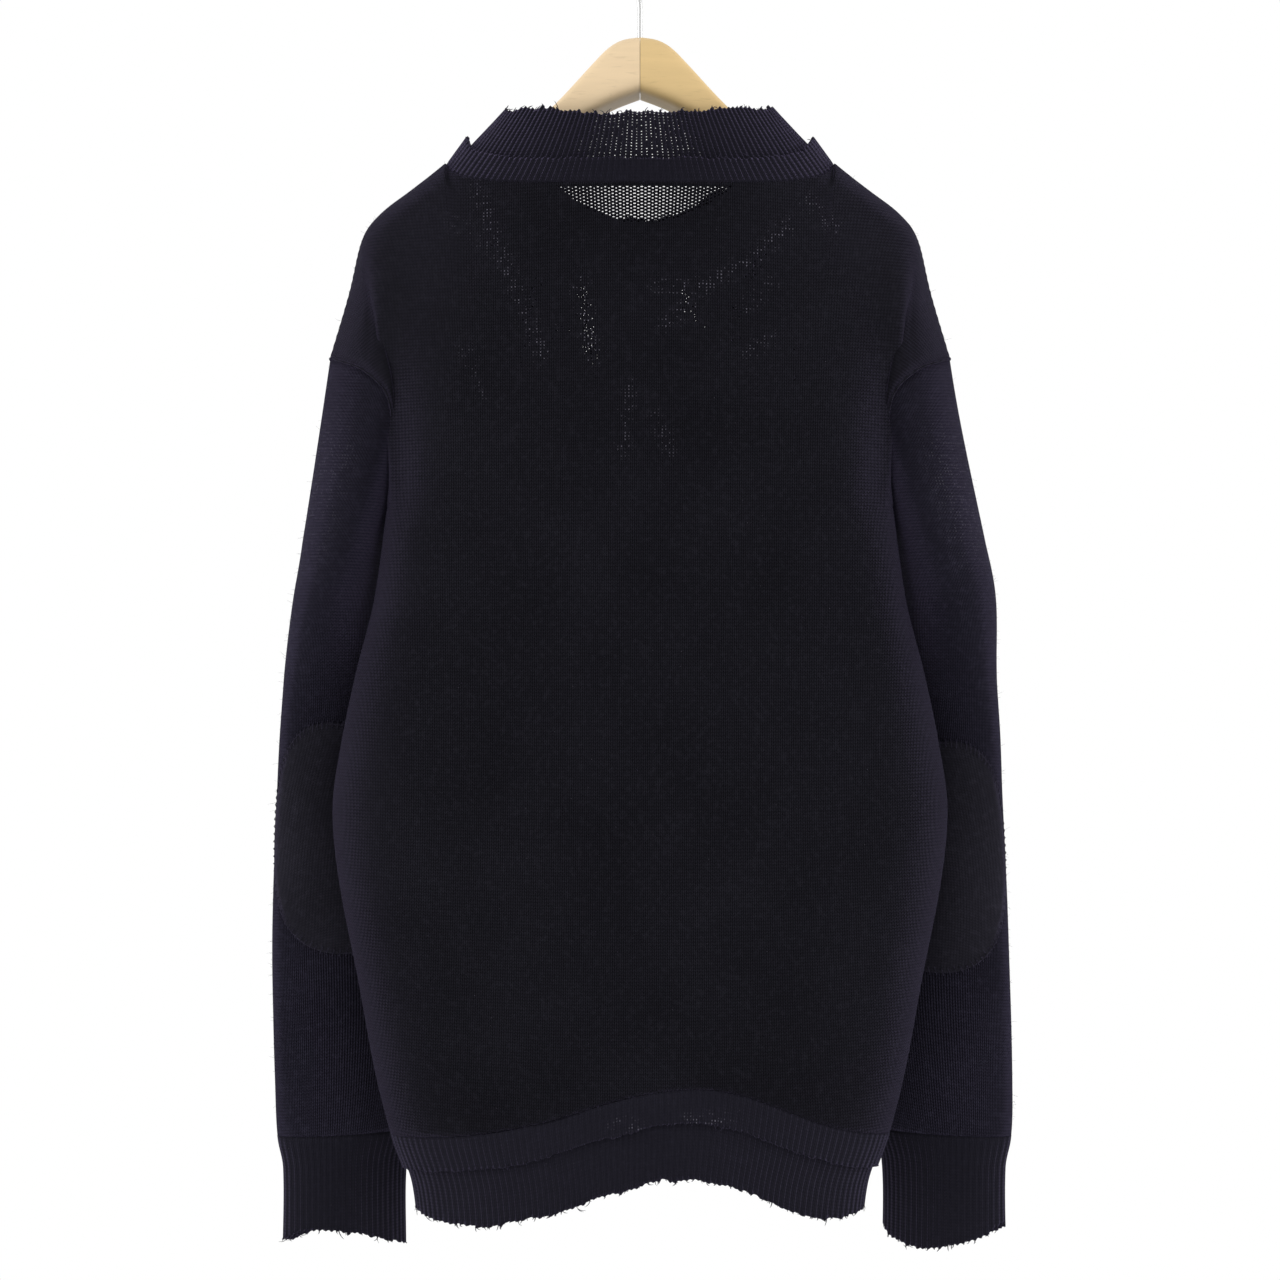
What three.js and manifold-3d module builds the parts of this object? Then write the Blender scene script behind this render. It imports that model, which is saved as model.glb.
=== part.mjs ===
// A dark wool pullover hanging on a wooden coat hanger, in millimetres.
// +Z is up, the front of the garment faces -Y and its back +Y, and +X is the wearer's left.
// The origin is the underside of the hook's crown, where a rail carries the hanger.
// Every cloth piece is a wall made from one form function: point(..., inset) gives the outside of
// the cloth at inset 0 and its inside at inset CLOTH, so neighbours meet face to face at each seam.
import * as THREE from "three";
import { mergeVertices } from "three/addons/utils/BufferGeometryUtils.js";
import Module from "manifold-3d";

const wasm = await Module();
wasm.setup();

// ---- driving dimensions ------------------------------------------------------------------
const APEX = -78; // top of the hanger's arch, below the hook's crown
const CLOTH = 2.5; // thickness of the knit
const SEAM = 0.3; // gap between two pieces that are sewn together
const RIB_SPACE = 3.2; // how far the inner collar and hem bands sit inside the outer ones
const ARMPIT = -320; // heights are from the top of the arch unless they are said otherwise
const NECK_SIDE = [131, -88]; // where collar, front and back meet on the shoulder: x, z
const NECK_BEHIND = { y: 50, drop: 20 }; // middle of the neck seam on the back
const NECK_BEFORE = { y: -60, drop: 76 }; // and on the front
const SHOULDER_DEPTH = 26; // how far the cloth stands off the ridge where it rounds the hanger
const SHOULDER_ROUND = 16; // and the height over which it does so
const ON_ARM = 34; // the hanger's arm holds the cloth out as far as this from the middle
const CUFF_TOP = -752;

// ---- small helpers -----------------------------------------------------------------------
const radians = THREE.MathUtils.degToRad;
const mix = (a, b, t) => a + (b - a) * t;
const mixPoint = (a, b, t) => a.map((v, k) => mix(v, b[k], t));
const moved = (p, direction, by) => p.map((v, k) => v + direction[k] * by);
const smooth = (low, high, x) => THREE.MathUtils.smoothstep(x, low, high);
const unit = (v) => {
  const length = Math.hypot(...v);
  return v.map((c) => c / length);
};

// A smooth curve through [at, value, value...] rows, as a function of at.
function through(rows) {
  const slope = (i, k) => {
    const before = rows[Math.max(i - 1, 0)];
    const after = rows[Math.min(i + 1, rows.length - 1)];
    return (after[k] - before[k]) / (after[0] - before[0]);
  };
  return (at) => {
    const rising = rows[1][0] > rows[0][0];
    let i = 0;
    while (i < rows.length - 2 && (rising ? at > rows[i + 1][0] : at < rows[i + 1][0])) i++;
    const span = rows[i + 1][0] - rows[i][0];
    const t = THREE.MathUtils.clamp((at - rows[i][0]) / span, 0, 1);
    const values = rows[0].slice(1).map((_, n) => {
      const k = n + 1;
      const [p, q] = [rows[i][k], rows[i + 1][k]];
      const [mp, mq] = [slope(i, k) * span, slope(i + 1, k) * span];
      const bend = 2 * p - 2 * q + mp + mq;
      return p + mp * t + (3 * q - 3 * p - 2 * mp - mq) * t * t + bend * t * t * t;
    });
    return values.length === 1 ? values[0] : values;
  };
}

// ---- the form of the garment -------------------------------------------------------------
// Torso: height, half width, depth of the back and of the front from the side seam.
const torsoSize = through([
  [-320, 172, 50, 48],
  [-384, 181, 54, 50],
  [-432, 193, 57, 52],
  [-480, 203, 60, 54],
  [-524, 209, 60, 54],
  [-572, 205, 58, 52],
  [-640, 192, 54, 49],
  [-705, 180, 50, 46],
  [-748, 169, 47, 44],
  [-780, 158, 45, 42],
  [-830, 153, 43, 41],
]);
const SIDE_SEAM_Y = -4;
const BACK_ROUND = 0.7; // the back is boxier than an ellipse
const FRONT_ROUND = 1.1; // and the front is flatter towards the sides

// A point on a torso section: share runs from -1 at the -X side seam to 1 at the +X one.
function torso(share, height, back, inset) {
  const [half, deepBack, deepFront] = torsoSize(height);
  const turn = (share * Math.PI) / 2;
  const deep = (back > 0 ? deepBack : deepFront) - inset;
  const round = back > 0 ? BACK_ROUND : FRONT_ROUND;
  const y = SIDE_SEAM_Y + back * deep * Math.max(Math.cos(turn), 0) ** round;
  return [(half - inset) * Math.sin(turn), y, height];
}

// Neck seam ring: angle 0 is the +X shoulder, 90 the back and 270 the front.
function neckInward(angle) {
  const c = Math.cos(angle);
  return unit([-0.7 * c, -Math.sin(angle), -0.72 * c * c]);
}
function neckRing(angle, inset) {
  const [c, s] = [Math.cos(angle), Math.sin(angle)];
  const behind = s >= 0;
  const reach = Math.abs(s);
  const y = behind ? NECK_BEHIND.y * reach ** 0.6 : NECK_BEFORE.y * reach ** 0.8;
  const drop = behind ? NECK_BEHIND.drop * (1 - (1 - reach) ** 2) : NECK_BEFORE.drop * reach ** 1.7;
  return moved([NECK_SIDE[0] * c, y, NECK_SIDE[1] - drop], neckInward(angle), inset);
}

// Shoulder seam, from the neck over the hanger's end and down to the sleeve seam.
const shoulderLine = through([
  [0, NECK_SIDE[0], 0, NECK_SIDE[1]],
  [0.28, 156, -4, -105],
  [0.52, 178, -8, -121],
  [0.68, 190, -11, -137.5],
  [0.84, 199, -12, -174],
  [1, 212, -12, -218],
]);
function shoulder(share, inset) {
  const step = 0.01;
  const ahead = shoulderLine(Math.min(share + step, 1));
  const behind = shoulderLine(Math.max(share - step, 0));
  const along = unit([ahead[0] - behind[0], 0, ahead[2] - behind[2]]);
  return moved(shoulderLine(share), [along[2], 0, -along[0]], inset);
}

// Armhole seam, once round: turns, x, y, z. It starts at the end of the shoulder seam, runs down
// the back behind the side fold to the armpit, and comes up the front.
const armholeLine = through([
  [-0.1, 203, -30, -222],
  [0, 212, -12, -218],
  [0.1, 203, 4, -221],
  [0.2, 185, 15, -229],
  [0.3, 169, 17, -248],
  [0.4, 167, 8, -285],
  [0.5, 172, -5, -320],
  [0.6, 168, -20, -291],
  [0.7, 170, -33, -251],
  [0.8, 185, -38, -232],
  [0.9, 203, -30, -222],
  [1, 212, -12, -218],
  [1.1, 203, 4, -221],
]);
const ARMHOLE_MIDDLE = [187, -9, -262];
function armhole(turns, inset) {
  const p = armholeLine(turns - Math.floor(turns));
  const toMiddle = unit(p.map((v, k) => ARMHOLE_MIDDLE[k] - v));
  return moved(p, toMiddle, inset);
}

// A panel has its columns at these shares of its half width: even steps round the neck, then
// even steps over the shoulder.
const NECK_SHARE = 0.46;
const NECK_COLUMNS = 8;
const SHOULDER_COLUMNS = 6;
const HALF_COLUMNS = NECK_COLUMNS + SHOULDER_COLUMNS;
function columnShare(column) {
  const count = Math.abs(column);
  const onNeck = Math.min(count / NECK_COLUMNS, 1) * NECK_SHARE;
  const beyond = Math.max(count - NECK_COLUMNS, 0) / SHOULDER_COLUMNS;
  return Math.sign(column) * (onNeck + beyond * (1 - NECK_SHARE));
}

// The outer half of a panel's top edge (share 0 to 1): neck seam, then shoulder seam.
function topEdge(share, back, inset) {
  if (share < NECK_SHARE) {
    const angle = back * (Math.PI / 2) * (1 - share / NECK_SHARE);
    const away = unit([0.7 * Math.cos(angle), 0.3 * Math.sin(angle), -0.8]);
    return moved(neckRing(angle, inset), away, SEAM);
  }
  return shoulder((share - NECK_SHARE) / (1 - NECK_SHARE), inset);
}

// Front (back = -1) or back (back = 1) panel above the armpit. The step runs from 0 at the top
// edge to 1 at the armpit, and its rows crowd together where the cloth rounds the hanger.
function yoke(share, step, back, inset) {
  const side = Math.sign(share) || 1;
  const outward = Math.abs(share);
  const fall = step ** 2;
  const straight = (at) => {
    const high = topEdge(at, back, inset);
    const low = torso(at, ARMPIT, back, inset);
    const drop = (high[2] - ARMPIT) * fall;
    const rounded = Math.sqrt(1 - (1 - Math.min(drop / SHOULDER_ROUND, 1)) ** 2);
    const stand = SHOULDER_DEPTH * Math.max(1 - Math.abs(high[1]) / ON_ARM, 0);
    const off = back * stand * rounded * (1 - fall) ** 0.8;
    return [mix(high[0], low[0], fall), mix(high[1], low[1], fall) + off, mix(high[2], low[2], fall)];
  };
  const pull = smooth(0.78, 1, outward);
  const towardsBody = unit([-Math.sin(step * Math.PI) - 0.2, 0, Math.cos(step * Math.PI)]);
  const seam = moved(armhole((back * step) / 2, inset), towardsBody, SEAM);
  const edge = straight(1);
  const p = straight(outward).map((v, k) => v + pull * (seam[k] - edge[k]));
  return [side * p[0], p[1], p[2]];
}

// The lower edges rise in a soft wave that is highest a little to one side of the middle.
const BACK_WAVE = { rise: 37, x: -36, left: 100, right: 78 };
const FRONT_WAVE = { rise: 27, x: -34, left: 100, right: 84 };
function hemWave(x, back) {
  const wave = back > 0 ? BACK_WAVE : FRONT_WAVE;
  const width = x > wave.x ? wave.left : wave.right;
  return wave.rise * Math.exp(-(((x - wave.x) / width) ** 2));
}
const BODY_END = -745;
const OUTER_HEM_END = -768;
const INNER_HEM_END = -806;
const HEM_HALF_WIDTH = 163;
function edgeHeight(edge, share, back) {
  const turn = (share * Math.PI) / 2;
  const sides = Math.max(Math.cos(turn), 0) ** 0.5;
  return edge + sides * hemWave(HEM_HALF_WIDTH * Math.sin(turn), back);
}

// Front or back panel below the armpit; fall runs from 0 at the armpit to 1 at its lower edge.
function lowerPanel(share, fall, back, inset) {
  const height = mix(ARMPIT, edgeHeight(BODY_END, share, back), fall);
  return torso(share, height, back, inset);
}

// Sleeve stations: height, centre x, centre y, long half axis, short half axis, turn in degrees.
// Each sleeve hangs in front of the body's side, so from behind the body overlaps it.
const sleeveSize = through([
  [-345, 202.5, -24, 42, 28.5, 78],
  [-384, 207, -32, 50, 27, 70],
  [-425, 206.5, -41, 56, 26, 60],
  [-465, 202, -50, 62, 24, 50],
  [-520, 197, -57, 66, 23, 40],
  [-574, 194.5, -55, 68, 22, 34],
  [-650, 197, -49, 64, 20, 28],
  [-717, 203, -44, 56, 18.5, 24],
  [-752, 207, -42, 50, 18, 22],
  [-775, 208.5, -41, 44, 16.5, 22],
  [-840, 209, -40, 43.5, 16.5, 20],
]);
function sleeveSection(angle, height, inset) {
  const [x, y, long, short, degrees] = sleeveSize(height);
  const turn = radians(degrees);
  const [a, b] = [(long - inset) * Math.cos(angle - turn), (short - inset) * Math.sin(angle - turn)];
  const [c, s] = [Math.cos(turn), Math.sin(turn)];
  return [x + a * c - b * s, y + a * s + b * c, height];
}
// The two sleeves differ a little: how far each swings out below the shoulder and at the cuff, the
// phase of the wave in its cuff's edge, and the height of its elbow patch along the sleeve.
const LEFT = { name: "left", side: 1, bulge: 0, sway: -3.5, phase: 0, patchMiddle: 0.557 };
const RIGHT = { name: "right", side: -1, bulge: 7, sway: 2.5, phase: 2, patchMiddle: 0.585 };

// Along the sleeve: 0 is the armhole seam, 1 the cuff seam. Turns go once round it.
const SLEEVE_FIRST = -345;
const HEAD_SHARE = 0.12;
const BULGE_SHARE = 0.34;
function sleeve(wearer, turns, along, inset) {
  const angle = turns * Math.PI * 2;
  const t = Math.max(along - HEAD_SHARE, 0) / (1 - HEAD_SHARE);
  const below = sleeveSection(angle, mix(SLEEVE_FIRST, CUFF_TOP, t), inset);
  const [x, y, z] =
    along < HEAD_SHARE ? mixPoint(armhole(turns, inset), below, along / HEAD_SHARE) : below;
  const outside = Math.max(Math.cos(angle), 0);
  const bulge = wearer.bulge * outside * Math.sin(Math.PI * Math.min(along / BULGE_SHARE, 1)) ** 2;
  const sway = wearer.sway * smooth(0.6, 1, along);
  return [wearer.side * (x + bulge + sway), y, z];
}
function cuff(wearer, turns, along, inset) {
  const angle = turns * Math.PI * 2;
  const end = -823 - 6 * Math.cos(2 * angle + wearer.phase) + 3 * Math.cos(angle);
  const [x, y, z] = sleeveSection(angle, mix(CUFF_TOP - SEAM, end, along), inset);
  return [wearer.side * (x + wearer.sway), y, z];
}

// Collar bands stand on the neck seam. Their free edges: angle to a point at inset 0.
function outerCollarEdge(angle) {
  const [c, s] = [Math.cos(angle), Math.sin(angle)];
  const behind = s >= 0;
  const reach = Math.abs(s);
  const drop = behind ? 22 * (1 - (1 - reach) ** 2) : 76 * reach ** 1.7;
  return [118 * c, behind ? 48.5 * reach ** 0.6 : -58.5 * reach ** 0.8, -70 - drop];
}
function innerCollarEdge(angle) {
  const [c, s] = [Math.cos(angle), Math.sin(angle)];
  const behind = s >= 0;
  const reach = Math.abs(s);
  const drop = behind ? 8 * reach ** 2 : 65 * reach ** 1.4;
  return [92 * c, behind ? 38 * reach ** 0.65 : -50 * reach ** 0.8, -52 - drop];
}
function outerCollar(angle, rise, inset) {
  const edge = moved(outerCollarEdge(angle), neckInward(angle), inset);
  return mixPoint(neckRing(angle, inset), edge, rise);
}
function innerCollar(angle, rise, inset) {
  const foot = neckRing(angle, RIB_SPACE + inset);
  const edge = moved(innerCollarEdge(angle), neckInward(angle), inset);
  return mixPoint(foot, edge, rise);
}

// Hem bands: the outer one carries on from the panels, the inner one hangs below it. Their columns
// are the panels' own, counted round from the +X side over the back.
function hemBand(column, fall, top, bottom, inset) {
  const back = column < 2 * HALF_COLUMNS ? 1 : -1;
  const share = columnShare(back > 0 ? HALF_COLUMNS - column : column - 3 * HALF_COLUMNS);
  const height = mix(edgeHeight(top, share, back), edgeHeight(bottom, share, back), fall);
  return torso(share, height, back, inset);
}

// ---- solids ------------------------------------------------------------------------------
// A closed mesh from corner points and triangles; it is turned the right way out.
function solid(points, triangles) {
  let volume = 0;
  for (const [a, b, c] of triangles) {
    const [p, q, r] = [points[a], points[b], points[c]];
    volume += p[0] * (q[1] * r[2] - q[2] * r[1]) + p[1] * (q[2] * r[0] - q[0] * r[2]);
    volume += p[2] * (q[0] * r[1] - q[1] * r[0]);
  }
  const faces = volume < 0 ? triangles.map(([a, b, c]) => [a, c, b]) : triangles;
  const geometry = new THREE.BufferGeometry();
  geometry.setAttribute("position", new THREE.Float32BufferAttribute(points.flat(), 3));
  geometry.setIndex(faces.flat());
  return geometry;
}

// A wall over a grid of columns i and rows j, closed into a ring or not: point(i, j, inset).
function wall(across, along, ring, point, outer = 0, inner = CLOTH) {
  const columns = ring ? across : across + 1;
  const points = [];
  for (const inset of [outer, inner])
    for (let j = 0; j <= along; j++)
      for (let i = 0; i < columns; i++) points.push(point(i, j, inset));
  const layer = columns * (along + 1);
  const at = (i, j, k) => (i % columns) + j * columns + k * layer;
  const triangles = [];
  const quad = (a, b, c, d) => triangles.push([a, b, c], [a, c, d]);
  for (let i = 0; i < across; i++) {
    for (let j = 0; j < along; j++) {
      quad(at(i, j, 0), at(i + 1, j, 0), at(i + 1, j + 1, 0), at(i, j + 1, 0));
      quad(at(i, j, 1), at(i, j + 1, 1), at(i + 1, j + 1, 1), at(i + 1, j, 1));
    }
    quad(at(i, 0, 0), at(i, 0, 1), at(i + 1, 0, 1), at(i + 1, 0, 0));
    quad(at(i, along, 0), at(i + 1, along, 0), at(i + 1, along, 1), at(i, along, 1));
  }
  if (!ring)
    for (let j = 0; j < along; j++) {
      quad(at(0, j, 0), at(0, j + 1, 0), at(0, j + 1, 1), at(0, j, 1));
      quad(at(across, j, 0), at(across, j, 1), at(across, j + 1, 1), at(across, j + 1, 0));
    }
  return solid(points, triangles);
}

function toManifold(geometry) {
  const bare = geometry.clone();
  for (const name of ["normal", "uv"]) bare.deleteAttribute(name);
  const merged = mergeVertices(bare, 1e-4);
  const vertProperties = new Float32Array(merged.getAttribute("position").array);
  const triVerts = new Uint32Array(merged.index.array);
  return new wasm.Manifold(new wasm.Mesh({ numProp: 3, vertProperties, triVerts }));
}
function fromManifold(shape) {
  const { vertProperties, triVerts } = shape.getMesh();
  const geometry = new THREE.BufferGeometry();
  geometry.setAttribute("position", new THREE.BufferAttribute(vertProperties, 3));
  geometry.setIndex(new THREE.BufferAttribute(triVerts, 1));
  return geometry;
}

// ---- materials ---------------------------------------------------------------------------
const knit = new THREE.MeshStandardMaterial({ color: 0x1b1a21, roughness: 0.95, metalness: 0 });
const rib = new THREE.MeshStandardMaterial({ color: 0x1d1c24, roughness: 0.95, metalness: 0 });
const patchKnit = new THREE.MeshStandardMaterial({ color: 0x1f1e22, roughness: 0.9, metalness: 0 });
const wood = new THREE.MeshStandardMaterial({ color: 0xe3c593, roughness: 0.45, metalness: 0 });
const steel = new THREE.MeshStandardMaterial({ color: 0x8d8d8c, roughness: 0.3, metalness: 1 });

// ---- assembly ----------------------------------------------------------------------------
const sweater = new THREE.Group();
sweater.name = "sweater_on_hanger";
const hung = new THREE.Group(); // everything that is measured from the top of the arch
hung.position.z = APEX;
sweater.add(hung);

function piece(name, geometry, material) {
  geometry.computeVertexNormals();
  const mesh = new THREE.Mesh(geometry, material);
  mesh.name = name;
  hung.add(mesh);
}

// Front and back panels, each a yoke to just under the armpit and a body below it. The knit runs on from one into the other.
const YOKE_ROWS = 10; // half of what a sleeve has around, so that the armhole's points meet
const LOWER_ROWS = 8;
const BODY_ROW = YOKE_ROWS + 1; // where the body starts
const BODY_GAP = SEAM / (ARMPIT - BODY_END);
function panelWall(back, from, to) {
  const gap = from > 0 ? BODY_GAP : 0;
  return wall(2 * HALF_COLUMNS, to - from, false, (i, j, inset) => {
    const share = columnShare(i - HALF_COLUMNS);
    const row = from + j;
    const fall = (row - YOKE_ROWS) / LOWER_ROWS + (j === 0 ? gap : 0);
    const [x, y, z] =
      row <= YOKE_ROWS ? yoke(share, row / YOKE_ROWS, back, inset) : lowerPanel(share, fall, back, inset);
    return [x, y + (back * SEAM) / 2, z];
  });
}
for (const [side, back] of [
  ["back", 1],
  ["front", -1],
]) {
  piece(`${side}_yoke`, panelWall(back, 0, BODY_ROW), knit);
  piece(`${side}_body`, panelWall(back, BODY_ROW, YOKE_ROWS + LOWER_ROWS), knit);
}

// Sleeves, cuffs and elbow patches. A sleeve is an upper and a lower length, and its knit runs on from one into the other.
const SLEEVE_AROUND = 2 * YOKE_ROWS;
const HEAD_ROWS = 2;
const UPPER_ROWS = 5;
const SLEEVE_ROWS = 11;
const CUFF_ROWS = 2;
const SLEEVE_GAP = (SEAM / (SLEEVE_FIRST - CUFF_TOP)) * (1 - HEAD_SHARE);
function sleeveLength(row) {
  if (row < HEAD_ROWS) return (row / HEAD_ROWS) * HEAD_SHARE;
  return mix(HEAD_SHARE, 1, (row - HEAD_ROWS) / (SLEEVE_ROWS - HEAD_ROWS));
}
function sleeveWall(wearer, from, to, outer, inner) {
  const gap = from > 0 ? SLEEVE_GAP : 0;
  const point = (i, j, inset) =>
    sleeve(wearer, i / SLEEVE_AROUND, sleeveLength(from + j) + (j === 0 ? gap : 0), inset);
  return wall(SLEEVE_AROUND, to - from, true, point, outer, inner);
}

// A patch is what an oval of the sleeve's surface cuts out of a thin shell around the sleeve.
const PATCH = { turns: 0.28, halfTurns: 0.185, halfAlong: 0.173, cloth: 1.6, rings: 5, spokes: 28 };
const CUTTER = { above: -6, below: 2 }; // how far the cutter reaches to both sides of the sleeve
function elbowPatch(wearer) {
  const shell = sleeveWall(wearer, 0, SLEEVE_ROWS, -SEAM - PATCH.cloth, -SEAM);
  const oval = (ring, spoke, inset) => {
    const angle = (spoke / PATCH.spokes) * Math.PI * 2;
    const out = ring / PATCH.rings;
    const turns = PATCH.turns + PATCH.halfTurns * out * Math.cos(angle);
    const along = wearer.patchMiddle + PATCH.halfAlong * out * Math.sin(angle);
    return sleeve(wearer, turns, along, inset);
  };
  const points = [oval(0, 0, CUTTER.above), oval(0, 0, CUTTER.below)];
  for (let ring = 1; ring <= PATCH.rings; ring++)
    for (let spoke = 0; spoke < PATCH.spokes; spoke++)
      points.push(oval(ring, spoke, CUTTER.above), oval(ring, spoke, CUTTER.below));
  const at = (ring, spoke) => 2 + 2 * ((ring - 1) * PATCH.spokes + (spoke % PATCH.spokes));
  const triangles = [];
  for (let spoke = 0; spoke < PATCH.spokes; spoke++) {
    const [first, second] = [at(1, spoke), at(1, spoke + 1)];
    triangles.push([0, first, second], [1, second + 1, first + 1]);
    for (let ring = 1; ring < PATCH.rings; ring++) {
      const [a, b] = [at(ring, spoke), at(ring, spoke + 1)];
      const [c, d] = [at(ring + 1, spoke + 1), at(ring + 1, spoke)];
      triangles.push([a, d, c], [a, c, b], [a + 1, c + 1, d + 1], [a + 1, b + 1, c + 1]);
    }
    const [e, f] = [at(PATCH.rings, spoke), at(PATCH.rings, spoke + 1)];
    triangles.push([e, e + 1, f + 1], [e, f + 1, f]);
  }
  return fromManifold(toManifold(shell).intersect(toManifold(solid(points, triangles))));
}

for (const wearer of [LEFT, RIGHT]) {
  const cuffGrid = (i, j, inset) => cuff(wearer, i / SLEEVE_AROUND, j / CUFF_ROWS, inset);
  piece(`upper_sleeve_${wearer.name}`, sleeveWall(wearer, 0, UPPER_ROWS), knit);
  piece(`lower_sleeve_${wearer.name}`, sleeveWall(wearer, UPPER_ROWS, SLEEVE_ROWS), knit);
  piece(`cuff_${wearer.name}`, wall(SLEEVE_AROUND, CUFF_ROWS, true, cuffGrid), rib);
  piece(`elbow_patch_${wearer.name}`, elbowPatch(wearer), patchKnit);
}

// Collar and hem, each an outer band with a longer one inside it.
const COLLAR_AROUND = 4 * NECK_COLUMNS;
const COLLAR_ROWS = 2;
const collarAngle = (i) => (i / COLLAR_AROUND) * Math.PI * 2;
const outerCollarWall = wall(COLLAR_AROUND, 1, true, (i, j, inset) => outerCollar(collarAngle(i), j, inset));
const innerCollarWall = wall(COLLAR_AROUND, COLLAR_ROWS, true, (i, j, inset) =>
  innerCollar(collarAngle(i), j / COLLAR_ROWS, inset));
piece("collar_outer", outerCollarWall, rib);
piece("collar_inner", innerCollarWall, rib);
const HEM_AROUND = 4 * HALF_COLUMNS;
const HEM_ROWS = 2;
const HEM_TOP = BODY_END - SEAM;
const outerHemWall = wall(HEM_AROUND, 1, true, (i, j, inset) => hemBand(i, j, HEM_TOP, OUTER_HEM_END, inset));
const innerHemWall = wall(HEM_AROUND, HEM_ROWS, true, (i, j, inset) =>
  hemBand(i, j / HEM_ROWS, HEM_TOP, INNER_HEM_END, inset + RIB_SPACE));
piece("hem_outer", outerHemWall, rib);
piece("hem_inner", innerHemWall, rib);

// ---- hanger ------------------------------------------------------------------------------
// Two arms of wood meet in a mitre on the middle plane; each bends forward towards its end.
const armOutline = through([
  // x, top height, bottom height, half depth
  [0, -3.5, -41, 21],
  [12, -5.5, -45.5, 21],
  [21, -10.5, -49.5, 21],
  [31, -20.5, -55, 21],
  [52, -43.5, -67, 20.5],
  [66, -57, -78, 19],
  [90, -78, -98, 17],
  [120, -101, -121, 16.5],
  [150, -119, -139, 16.5],
  [170, -131, -149, 16],
  [179, -139, -153, 13],
  [184, -145, -153, 8],
]);
const ARM_STATIONS = [0, 7, 14, 21, 26, 31, 38, 45, 52, 66, 90, 120, 150, 165, 174, 180, 184];
const ARM_SIDES = 16;
const ARM_BEND = 0.0004;
const HOOK_WIRE = 1.75;
const HOOK_HOLE = 2.1;
const HOOK_NUT = { radius: 3.8, height: 3, z: -39 };
const COUNTERBORE = { radius: 4.3, height: 12, z: -43.5 };
function arm(side) {
  const section = (x, k) => {
    const [top, bottom, deep] = armOutline(x);
    const angle = (k / ARM_SIDES) * Math.PI * 2;
    const round = (v) => Math.sign(v) * Math.abs(v) ** 0.62;
    const bend = -ARM_BEND * Math.max(x - 90, 0) ** 2;
    const y = bend + deep * round(Math.cos(angle));
    const z = (top + bottom) / 2 + ((top - bottom) / 2) * round(Math.sin(angle));
    return [side * Math.max(x, SEAM / 2), y, z];
  };
  const points = ARM_STATIONS.flatMap((x) => [...Array(ARM_SIDES).keys()].map((k) => section(x, k)));
  const last = ARM_STATIONS.length - 1;
  const triangles = [];
  for (let i = 0; i < last; i++)
    for (let k = 0; k < ARM_SIDES; k++) {
      const [a, b] = [i * ARM_SIDES + k, i * ARM_SIDES + ((k + 1) % ARM_SIDES)];
      triangles.push([a, b, b + ARM_SIDES], [a, b + ARM_SIDES, a + ARM_SIDES]);
    }
  for (let k = 1; k < ARM_SIDES - 1; k++)
    triangles.push([0, k + 1, k], [last * ARM_SIDES, last * ARM_SIDES + k, last * ARM_SIDES + k + 1]);
  const hole = new THREE.CylinderGeometry(HOOK_HOLE, HOOK_HOLE, 60, 12);
  hole.rotateX(Math.PI / 2).translate(0, 0, -20);
  const nutHole = new THREE.CylinderGeometry(COUNTERBORE.radius, COUNTERBORE.radius, COUNTERBORE.height, 12);
  nutHole.rotateX(Math.PI / 2).translate(0, 0, COUNTERBORE.z);
  const bored = toManifold(solid(points, triangles)).subtract(toManifold(hole));
  return fromManifold(bored.subtract(toManifold(nutHole)));
}
piece("hanger_arm_left", arm(1), wood);
piece("hanger_arm_right", arm(-1), wood);

// The hook is one bent wire. Its route is measured from the middle of its round part.
const HOOK_RADIUS = 20.75;
const HOOK_MIDDLE = HOOK_WIRE - HOOK_RADIUS - APEX; // above the top of the arch
const HOOK_FOOT = HOOK_NUT.z + 0.5;
const onHook = (degrees) => [
  HOOK_RADIUS * Math.cos(radians(degrees)),
  HOOK_RADIUS * Math.sin(radians(degrees)),
];
const hookRoute = [
  ...[-160, -175, 170, 150, 130, 110, 90, 70, 50, 30, 10, -10, -28].map(onHook),
  [13, -18],
  [6, -24.5],
  [1.4, -32],
  [0, -40],
].map(([x, z]) => new THREE.Vector3(x, 0, HOOK_MIDDLE + z));
for (const z of [HOOK_MIDDLE - 48, 0, HOOK_FOOT]) hookRoute.push(new THREE.Vector3(0, 0, z));
const wireRound = new THREE.Shape().absarc(0, 0, HOOK_WIRE, 0, Math.PI * 2);
const wire = new THREE.ExtrudeGeometry(wireRound, {
  steps: 60,
  curveSegments: 5,
  extrudePath: new THREE.CatmullRomCurve3(hookRoute, false, "centripetal"),
});
const nut = new THREE.CylinderGeometry(HOOK_NUT.radius, HOOK_NUT.radius, HOOK_NUT.height, 12);
nut.rotateX(Math.PI / 2).translate(0, 0, HOOK_NUT.z);
piece("hook", fromManifold(toManifold(wire).add(toManifold(nut))), steel);

export default sweater;
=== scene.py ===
# %% [markdown]
# # A darned wool pullover on a wooden hanger
# A big black pullover hangs on a wooden coat hanger and is seen from behind. Its neck, hem and cuffs are
# doubled ribs with raw, frayed edges, the knit under the collar has worn open, and an oval darn sits on
# each elbow. The imported model is loaded first, because every piece of cloth has to lie where its solid
# lies.

# %% The frame
import math
from functools import partial

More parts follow.
